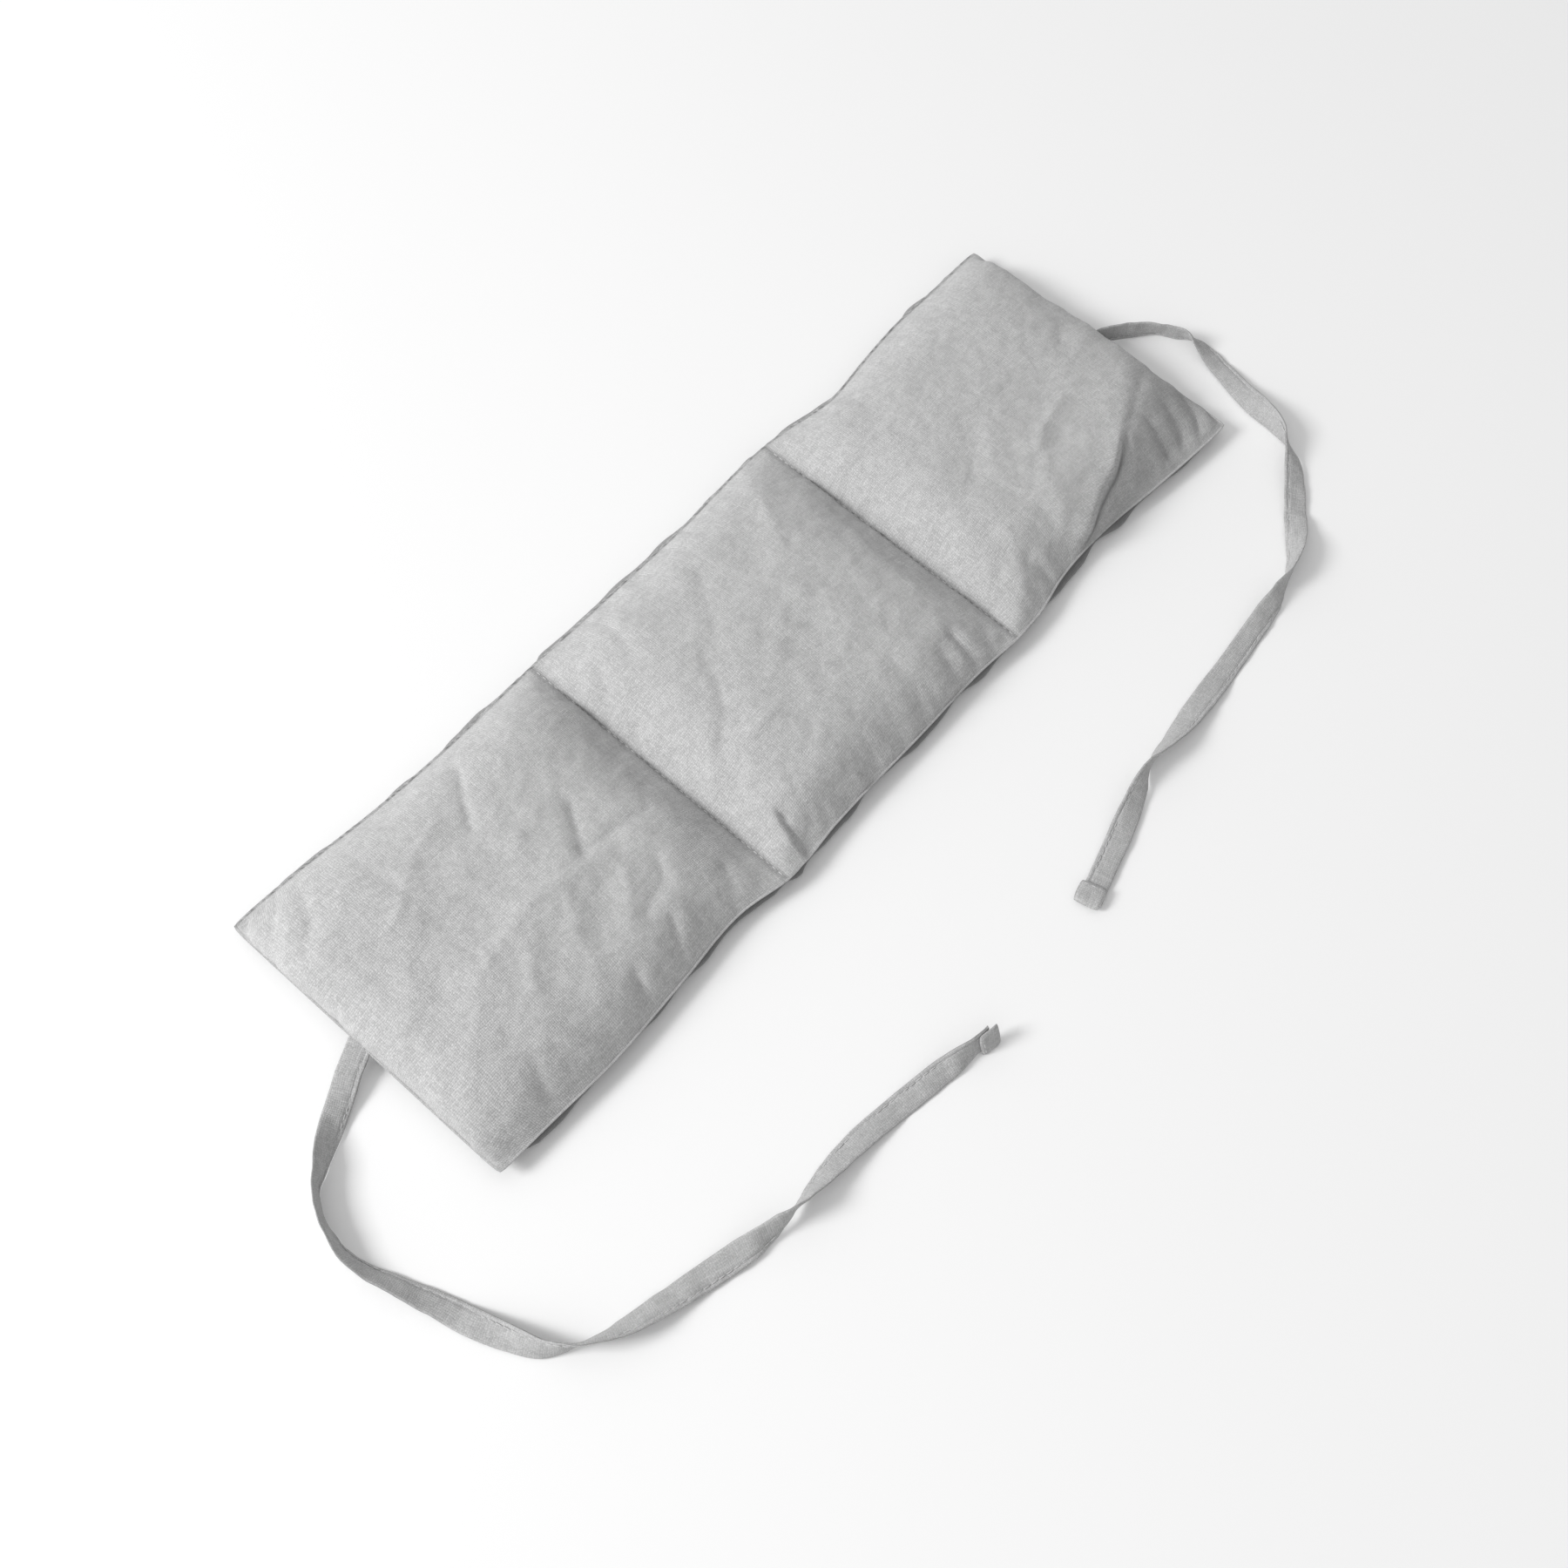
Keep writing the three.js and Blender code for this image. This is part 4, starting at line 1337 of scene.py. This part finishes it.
def grain_piece(name, first, last):
    """A closed lumpy body between the two layers of one chamber."""
    start = first + (FILL_SKIP if first == 0 else FOLD_SKIP)
    stop = last - (FILL_SKIP if last == len(top_fine) - 1 else FOLD_SKIP)
    columns = np.arange(start, stop + 1, FILL_STRIDE)
    rows = np.arange(FILL_SKIP, top_fine.shape[1] - FILL_SKIP, FILL_STRIDE)
    pick = np.ix_(columns, rows)
    lowest = top_fine[..., 2].copy()
    for axis in (0, 1):
        around = [np.roll(lowest, shift, axis) for shift in range(-FILL_LOOK, FILL_LOOK + 1)]
        lowest = np.minimum.reduce(around)
    settled = SEAM_HEIGHT + FILL_SHARE * (lowest - SEAM_HEIGHT)
    settled = np.minimum(settled, lowest - FILL_INSET / 2)
    upper = np.concatenate([calm_places[pick], settled[pick][..., None]], axis=-1)
    lower = bottom_fine[pick].copy()
    lower[..., 2] += FILL_INSET
    lower[..., 2] = np.minimum(lower[..., 2], upper[..., 2] - FILL_LEAST)
    count = upper.shape[0] * upper.shape[1]
    index = np.arange(count).reshape(upper.shape[:2])
    places = perimeter(*upper.shape[:2])
    loop = np.array([index[place] for place in places])
    side = np.stack([loop, loop + count, np.roll(loop, -1) + count, np.roll(loop, -1)], axis=-1)
    quads = np.concatenate([quads_of(index), quads_of(index + count)[:, ::-1], side])
    points = np.concatenate([upper.reshape(-1, 3), lower.reshape(-1, 3)])
    return new_piece(name, points, quads, grain)


line_ends = [0, near_fine, far_fine, top_fine.shape[0] - 1]
for body, first, last in zip(("near", "middle", "far"), line_ends, line_ends[1:]):
    fill = grain_piece(f"{body}_grain", first, last)
    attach(fill, body)
    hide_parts(f"{body}_grain_fill")
    print(fill.name, len(fill.data.polygons), "faces")

# %% [markdown]
# ## Stitches
#
# A row of machine stitching is a line of short straight threads, each of which dives into
# the cloth at both ends. Every stitch is its own little arched tube, laid between two
# neighbouring points of a path and pressed into the surface by the path's own normals.

# %% A row of stitches
STITCH_PITCH = 3.0 * MM
STITCH_LENGTH = 0.82  # of the pitch
THREAD_RADIUS = 0.24 * MM
STITCH_SIDES = 6
STITCH_RINGS = 5


def resample(points, normals, pitch, start=0.0):
    """Places a fixed distance apart along a path, with a normal at each."""
    steps = np.linalg.norm(np.diff(points, axis=0), axis=1)
    run = np.concatenate([[0], np.cumsum(steps)])
    places = np.arange(start, run[-1], pitch)
    at = np.stack([np.interp(places, run, points[:, k]) for k in range(3)], axis=-1)
    up = np.stack([np.interp(places, run, normals[:, k]) for k in range(3)], axis=-1)
    return at, up / np.linalg.norm(up, axis=-1, keepdims=True)


def stitch_row(name, runs, radius=THREAD_RADIUS, lift=0.15 * MM, sink=0.30 * MM):
    """One piece of many stitches along one or more runs of (points, normals)."""
    points, faces, flat = [], [], []
    for path, normals in runs:
        at, up = resample(path, normals, STITCH_PITCH)
        for k in range(len(at) - 1):
            whole = at[k + 1] - at[k]
            length = np.linalg.norm(whole)
            along = whole / length
            high = up[k] - along * np.dot(up[k], along)
            high /= np.linalg.norm(high)
            across = np.cross(along, high)
            first = len(points)
            for ring in range(STITCH_RINGS):
                share = ring / (STITCH_RINGS - 1)
                reach = (1 - STITCH_LENGTH) / 2 + STITCH_LENGTH * share
                arch = math.sin(math.pi * share) ** 0.5
                centre = at[k] + whole * reach + high * (arch * (lift + sink) - sink)
                thick = radius * (0.75 + 0.25 * arch)
                for side in range(STITCH_SIDES):
                    angle = 2 * math.pi * side / STITCH_SIDES
                    offset = across * math.cos(angle) + high * math.sin(angle)
                    points.append(centre + offset * thick)
                    flat.append((share * length, angle * radius))
            for ring in range(STITCH_RINGS - 1):
                for side in range(STITCH_SIDES):
                    a = first + ring * STITCH_SIDES + side
                    b = first + ring * STITCH_SIDES + (side + 1) % STITCH_SIDES
                    faces.append((a, a + STITCH_SIDES, b + STITCH_SIDES, b))
            last = first + (STITCH_RINGS - 1) * STITCH_SIDES
            faces.append(tuple(first + side for side in range(STITCH_SIDES)))
            faces.append(tuple(last + side for side in reversed(range(STITCH_SIDES))))
    piece = new_piece(name, points, faces, thread, flat)
    return piece


# %% The channel rows
def channel_runs(line):
    """The same row seen on the top cloth and on the underside."""
    inside = slice(1, -1)
    top = top_fine[line, inside]
    bottom = bottom_fine[line, inside][::-1]
    return [(top, np.tile(UP, (len(top), 1))), (bottom, np.tile(-UP, (len(bottom), 1)))]


for name, line, bodies, fold in (
    ("near", near_fine, ("near", "middle"), near_fold),
    ("far", far_fine, ("middle", "far"), far_fold),
):
    row = stitch_row(f"{name}_channel_stitches", channel_runs(line))
    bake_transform(row)
    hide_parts(f"{name}_channel_stitch")
    print(row.name, len(row.data.polygons), "faces")

# %% [markdown]
# The pad's edge was sewn inside out and turned, so its stitches lie in the groove between
# the two layers and show only as a row of dots where the seam is pulled open. Near the
# fold lines the rows stop short, so that each of them moves with a single chamber.

# %% The edge rows
EDGE_STITCH_OUT = 0.35 * MM
LEFT_STITCH_OUT = 0.8 * MM  # on the left the seam is pulled open and the stitches show
EDGE_STITCH_DOWN = 0.15 * MM
FOLD_CLEARANCE = 12 * MM
SHORTEST_RUN = 4  # grid points; a stretch shorter than this has no stitch

stitch_out = EDGE_STITCH_OUT + LEFT_STITCH_OUT * np.clip(seam_outward[:, 1:2], 0, 1)
edge_path = seam_points + seam_outward * stitch_out - UP * EDGE_STITCH_DOWN


def edge_runs(low, high, sides=(-1, 1)):
    """Stretches of the seam between two places along the pad, on the named sides."""
    wanted = (edge_path[:, 0] > low) & (edge_path[:, 0] < high)
    wanted &= np.isin(np.sign(edge_path[:, 1]), sides)
    order = np.arange(len(edge_path))
    first_gap = np.argmin(wanted)
    order = np.roll(order, -first_gap)
    runs, current = [], []
    for k in order:
        if wanted[k]:
            current.append(k)
        elif current:
            runs.append(current)
            current = []
    if current:
        runs.append(current)
    return [(edge_path[run], seam_outward[run]) for run in runs if len(run) > SHORTEST_RUN]


edge_rows = [
    ("near_edge_stitches", "near", -1, NEAR_CHANNEL - FOLD_CLEARANCE, (-1, 1), "near_edge_stitch"),
    ("far_edge_stitches", "far", FAR_CHANNEL + FOLD_CLEARANCE, 1, (-1, 1), "far_edge_stitch"),
    ("middle_left_edge_stitches", "middle", NEAR_CHANNEL + FOLD_CLEARANCE,
     FAR_CHANNEL - FOLD_CLEARANCE, (1,), "middle_left_edge_stitch"),
    ("middle_right_edge_stitches", "middle", NEAR_CHANNEL + FOLD_CLEARANCE,
     FAR_CHANNEL - FOLD_CLEARANCE, (-1,), "middle_right_edge_stitch"),
]
for name, body, low, high, sides, node in edge_rows:
    row = stitch_row(name, edge_runs(low, high, sides), radius=0.2 * MM, lift=0.05 * MM)
    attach(row, body)
    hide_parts(node)
    print(row.name, len(row.data.polygons), "faces")

# %% [markdown]
# ## The ties
#
# Each tie is a strip of the same cloth, folded in to the middle, folded again and sewn
# along its open edge. It is far too limp to lie flat: it stands on its edge where it turns
# and rolls over where it is slack. The route lists where it goes and how far it is rolled
# at each place. A curve through those points carries a flat section with round edges, a
# shallow groove under the stitching and small wrinkles across it.

# %% Routes of the ties
# x, y and lift in millimetres, and roll in degrees.
NEAR_TIE_ROUTE = [
    (-203, 3.2, 5.4, 0), (-207, 1.3, 5.3, 0), (-211, -0.6, 4.8, -2), (-216, -2.8, 3.9, -5),
    (-221.5, -5.8, 2.5, -10), (-231, -10.8, 0.5, -25), (-242.2, -17.5, 0, -62),
    (-250.5, -24, 0, -85), (-256, -33, 0, -80), (-258.5, -47, 0, -62),
    (-255, -63, 0, -40), (-250, -78, 0, -15), (-246, -92, 0, 10), (-242, -104, 0, 35),
    (-237, -115, 0, 60), (-228.5, -123, 1, 100), (-215, -129.5, 0, 135), (-202, -133.5, 0, 160),
    (-187, -137.5, 0, 180), (-174, -141, 0, 195), (-162, -144, 0, 225), (-150, -145.5, 2, 270),
    (-137, -145.5, 0, 315), (-125, -145.5, 0, 335), (-113, -146.5, 0, 350), (-99, -148.5, 0, 360),
    (-85, -151, 0, 375), (-75, -153, 0, 395), (-66, -154.7, 0, 425),
]
FAR_TIE_ROUTE = [
    (204, 4.5, 2, -25), (208, 1.5, 1.5, -65), (212.5, -1.5, 1, -92), (218, -5, 0.5, -97),
    (224.5, -9.5, 0.2, -93),
    (231.5, -16.5, 0, -80), (236.5, -25, 0, -78), (238.5, -34, 0, -35), (236.5, -46, 0, 0),
    (232.5, -59, 0, 15), (229, -70, 0, 45), (226.5, -80, 0, 75), (223, -88, 0, 105),
    (217, -96, 0, 145), (208, -103.5, 0, 165), (198, -111, 0, 180), (186, -119, 0, 220),
    (173, -125.5, 0, 260), (161.5, -128, 0, 300), (150, -129.5, 0, 330), (139, -130.5, 0, 350),
    (118, -132.5, 0, 360), (97, -134, 0, 375), (80, -135, 0, 405), (69, -135, 0, 435),
    (61, -136, 0, 475), (50, -139.5, 0, 510), (33, -144.5, 0, 535), (15, -149.3, 0, 540),
]
TIE_WIDTH = 9.2 * MM
TIE_THICKNESS = 1.2 * MM
TIE_TIP_LENGTH = 8 * MM
TIE_STITCH_INSET = 1.6 * MM
STEPS_PER_POINT = 8
STITCHED_FACE_STANDS = 0.7 * MM  # with its stitched face down, a tie stands this much higher
TIE_FLOOR_GAP = 0.15 * MM
LOWEST_POINT = 0.1 * MM  # nothing of a tie goes below this


def catmull_rom(points, steps):
    """A smooth curve through every point, with steps stations to a stretch."""
    points = np.array(points, float)
    padded = np.concatenate([[2 * points[0] - points[1]], points, [2 * points[-1] - points[-2]]])
    result = []
    for k in range(1, len(padded) - 2):
        a, b, c, d = padded[k - 1:k + 3]
        for step in range(steps):
            t = step / steps
            result.append(0.5 * (2 * b + (c - a) * t + (2 * a - 5 * b + 4 * c - d) * t**2
                                 + (3 * b - a - 3 * c + d) * t**3))
    result.append(padded[-2])
    return np.array(result)


def tie_stations(route):
    """Centres, across directions and faces of the tape along its whole route."""
    curve = catmull_rom(route, STEPS_PER_POINT)
    plan = np.concatenate([curve[:, :2] * MM, np.zeros((len(curve), 1))], axis=1)
    along = np.gradient(plan, axis=0)
    along /= np.linalg.norm(along, axis=1, keepdims=True)
    rolled = np.radians(curve[:, 3])
    level = np.stack([-along[:, 1], along[:, 0], np.zeros(len(curve))], axis=-1)
    across = level * np.cos(rolled)[:, None] + UP * np.sin(rolled)[:, None]
    face = np.cross(along, across)
    half_height = TIE_WIDTH / 2 * abs(np.sin(rolled)) + TIE_THICKNESS / 2 * abs(np.cos(rolled))
    stand = np.maximum(-np.cos(rolled), 0) * STITCHED_FACE_STANDS
    plan[:, 2] = half_height + stand + np.maximum(curve[:, 2], 0) * MM + TIE_FLOOR_GAP
    steps = np.linspace(0, 1, STEPS_PER_POINT + 1)[1:, None]
    tip = plan[-1] + along[-1] * TIE_TIP_LENGTH * steps
    centres = np.concatenate([plan, tip])
    across = np.concatenate([across, np.repeat(across[-1:], STEPS_PER_POINT, axis=0)])
    face = np.concatenate([face, np.repeat(face[-1:], STEPS_PER_POINT, axis=0)])
    return centres, across, face


near_stations = tie_stations(NEAR_TIE_ROUTE)
far_stations = tie_stations(FAR_TIE_ROUTE)


def run_length(points):
    return float(np.linalg.norm(np.diff(points, axis=0), axis=1).sum())


print(f"tie lengths {run_length(near_stations[0]) / MM:.0f} and "
      f"{run_length(far_stations[0]) / MM:.0f} mm")

# %% The folded tape
HALF_TIE = TIE_WIDTH / 2
STITCH_AT = HALF_TIE - TIE_STITCH_INSET
# Across the tape in millimetres, closer together at its edges and under the stitching.
SECTION_ACROSS = [4.6, 4.5, 4.2, 3.7, 3.3, 3.05, 2.8, 2.4, 1.4, 0,
                  -1.4, -2.8, -3.8, -4.3, -4.55, -4.6]
GROOVE_UNDER_STITCHES = 0.34 * MM
GROOVE_HALF_WIDTH = 0.32 * MM
WRINKLE_HEIGHT = 0.45 * MM
CRINKLE_HEIGHT = 0.16 * MM
EDGE_WAVE_HEIGHT = 0.20 * MM


def tape_section():
    """Across and outward places of the tape's section, round both faces."""
    across = np.array(SECTION_ACROSS) * MM
    edge = np.sqrt(np.maximum(1 - abs(across / HALF_TIE) ** 8, 0)) * TIE_THICKNESS / 2
    groove = np.exp(-((across - STITCH_AT) / GROOVE_HALF_WIDTH) ** 2) * GROOVE_UNDER_STITCHES
    upper = np.stack([across, edge - groove], axis=-1)
    lower = np.stack([across, -(edge - groove)], axis=-1)[::-1][1:-1]
    return np.concatenate([upper, lower])


def tape_piece(name, stations, seed):
    """The whole tape: its section carried along the route, with wrinkles across it."""
    centres, across, face = stations
    section = tape_section()
    run = np.concatenate([[0], np.cumsum(np.linalg.norm(np.diff(centres, axis=0), axis=1))])
    points = np.empty((len(centres), len(section), 3))
    flat = np.empty((len(centres), len(section), 2))
    for k, (side, out) in enumerate(section):
        wrinkle = WRINKLE_HEIGHT * lumps(run, side + run * 0.4, 6 * MM, 8 * MM, seed)
        crinkle = lumps(run, side - run * 0.5, 2.4 * MM, 5 * MM, seed + 1)
        wrinkle += CRINKLE_HEIGHT * crinkle
        edge_wave = lumps(run, np.zeros_like(run), 14 * MM, 1, seed + 2) * np.sign(side)
        edge_wave *= EDGE_WAVE_HEIGHT
        lifted = out + wrinkle
        points[:, k] = centres + across * (side + edge_wave)[:, None] + face * lifted[:, None]
        flat[:, k, 0] = run
        flat[:, k, 1] = side + (0.1 if out < 0 else 0.0)
    points[..., 2] = np.maximum(points[..., 2], LOWEST_POINT)
    count = len(section)
    index = np.arange(len(centres) * count).reshape(len(centres), count)
    wrapped = np.concatenate([index, index[:, :1]], axis=1)
    quads = [list(quad) for quad in quads_of(wrapped)[:, ::-1]]
    quads.append(list(index[0]))
    quads.append(list(index[-1][::-1]))
    return new_piece(name, points.reshape(-1, 3), quads, tape_cloth, flat.reshape(-1, 2))


# %% [markdown]
# The end of each tie is turned back on itself and sewn down. The turned-back end is a
# small plump tab: it is a touch wider than the tape, rounded where the cloth folds, and
# lies on whichever face of the tape is up.

# %% The turned-back tip
TAB_LENGTH = 9.2 * MM
TAB_WIDTH = 10.4 * MM
TAB_THICKNESS = 1.7 * MM
TAB_CELLS = 14
TAB_BEYOND = 3.4 * MM  # how far it reaches past the end of the tape
TAB_ASIDE = 0.8 * MM
TAB_SQUARENESS = 8  # a higher power gives a squarer section
TAB_LUMPS = 0.12
TAB_CORNER = 0.10  # how much shorter and narrower it is at its corners
TAB_DROOP = 1.4 * MM  # its free end hangs down by up to about half of this


def tab_piece(name, stations):
    """A rounded slab on the tape's upper face at its tip."""
    centre, across, face = (values[-1] for values in stations)
    along = stations[0][-1] - stations[0][-2]
    along = along / np.linalg.norm(along)
    up = face * np.sign(face[2])
    side = np.cross(up, along)
    steps = np.linspace(-1, 1, TAB_CELLS + 1)
    s, t = np.meshgrid(steps, steps, indexing="ij")
    round_off = (1 - abs(s) ** TAB_SQUARENESS) * (1 - abs(t) ** TAB_SQUARENESS)
    bulge = np.sqrt(np.maximum(round_off, 0)) * TAB_THICKNESS / 2
    bulge *= 1 + TAB_LUMPS * lumps(s + 5, t + 5, 0.5, 0.5, 71)
    base = centre + along * TAB_BEYOND - side * TAB_ASIDE
    base = base + up * (TIE_THICKNESS + TAB_THICKNESS) / 2
    droop = np.clip(s - 0.35, 0, 1)[..., None] ** 1.5 * up * TAB_DROOP
    mid = (base - along * TAB_LENGTH / 2 - droop
           + along * (s * (1 - TAB_CORNER * t**4))[..., None] * TAB_LENGTH / 2
           + side * (t * (1 - TAB_CORNER * s**4))[..., None] * TAB_WIDTH / 2)
    top = mid + up * bulge[..., None]
    low = mid - up * bulge[..., None]
    count = top.shape[0] * top.shape[1]
    index = np.arange(count).reshape(top.shape[:2])
    loop = np.array([index[place] for place in perimeter(*top.shape[:2])])
    rim = np.stack([loop, loop + count, np.roll(loop, -1) + count, np.roll(loop, -1)], axis=-1)
    quads = np.concatenate([quads_of(index), quads_of(index + count)[:, ::-1], rim])
    points = np.concatenate([top.reshape(-1, 3), low.reshape(-1, 3)])
    points[:, 2] = np.maximum(points[:, 2], LOWEST_POINT)
    flat = np.stack([s * TAB_LENGTH / 2, t * TAB_WIDTH / 2], axis=-1).reshape(-1, 2)
    piece = new_piece(name, points, quads, tape_cloth, np.concatenate([flat, flat + 0.03]))
    row_at = mid[2] + up * (bulge[2] * 0.95)[:, None]
    return piece, [(row_at[1:-1], np.tile(up, (len(row_at) - 2, 1)))]


# %% [markdown]
# A chamber can fold up while its tie stays level, so the tape has to bend right at its
# root. A straight line is set just past the root, and the script prints how far the route
# lies beyond it. A tie that runs back beside the pad would fall behind a line that only
# points outwards. So the line leans to the right, more than the tape does, and all of
# the route lies beyond it.

# %% Build both ties
NEAR_WAY_OUT = Vector((-0.64, -0.77, 0)).normalized()
FAR_WAY_OUT = Vector((0.52, -0.85, 0)).normalized()
BEND_AFTER = 3.5 * MM  # the line lies this far past the root, along the way out
ROW_DEPTH = 0.15 * MM  # the stitches' path lies this far inside the tape's face


def build_tie(name, stations, way_out, seed):
    """One tie: the tape, its edge stitching, its turned-back tip and the tip's stitching."""
    centres, across, face = stations
    tape = tape_piece(f"{name}_tie", stations, seed)
    clear = slice(2 * STEPS_PER_POINT, -STEPS_PER_POINT - 1)
    row_path = centres + across * STITCH_AT + face * (TIE_THICKNESS / 2 - ROW_DEPTH)
    back_path = centres + across * STITCH_AT - face * (TIE_THICKNESS / 2 - ROW_DEPTH)
    row = stitch_row(
        f"{name}_tie_edge_stitches",
        [(row_path[clear], face[clear]), (back_path[clear], -face[clear])],
        radius=0.17 * MM,
        lift=-0.1 * MM,
        sink=0.3 * MM,
    )
    tab, tab_run = tab_piece(f"{name}_tie_tip", stations)
    tab_row = stitch_row(f"{name}_tie_tip_stitches", tab_run, radius=0.2 * MM, lift=0.08 * MM)
    root = Vector(centres[STEPS_PER_POINT])
    bend_to = root + way_out * BEND_AFTER
    beyond = min((Vector(point) - bend_to).dot(way_out)
                 for point in centres[2 * STEPS_PER_POINT:])
    print(f"{name} route lies {beyond / MM:.1f} mm or more past the bend")
    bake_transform(tape)
    for piece, node in ((row, "edge_stitch"), (tab, "tip_fold"), (tab_row, "tip_stitch")):
        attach(piece, f"{name}_tie")
        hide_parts(f"{name}_tie_{node}")
    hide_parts(f"{name}_tie_tape")
    print(tape.name, len(tape.data.polygons), "faces")


build_tie("near", near_stations, NEAR_WAY_OUT, 41)
build_tie("far", far_stations, FAR_WAY_OUT, 51)
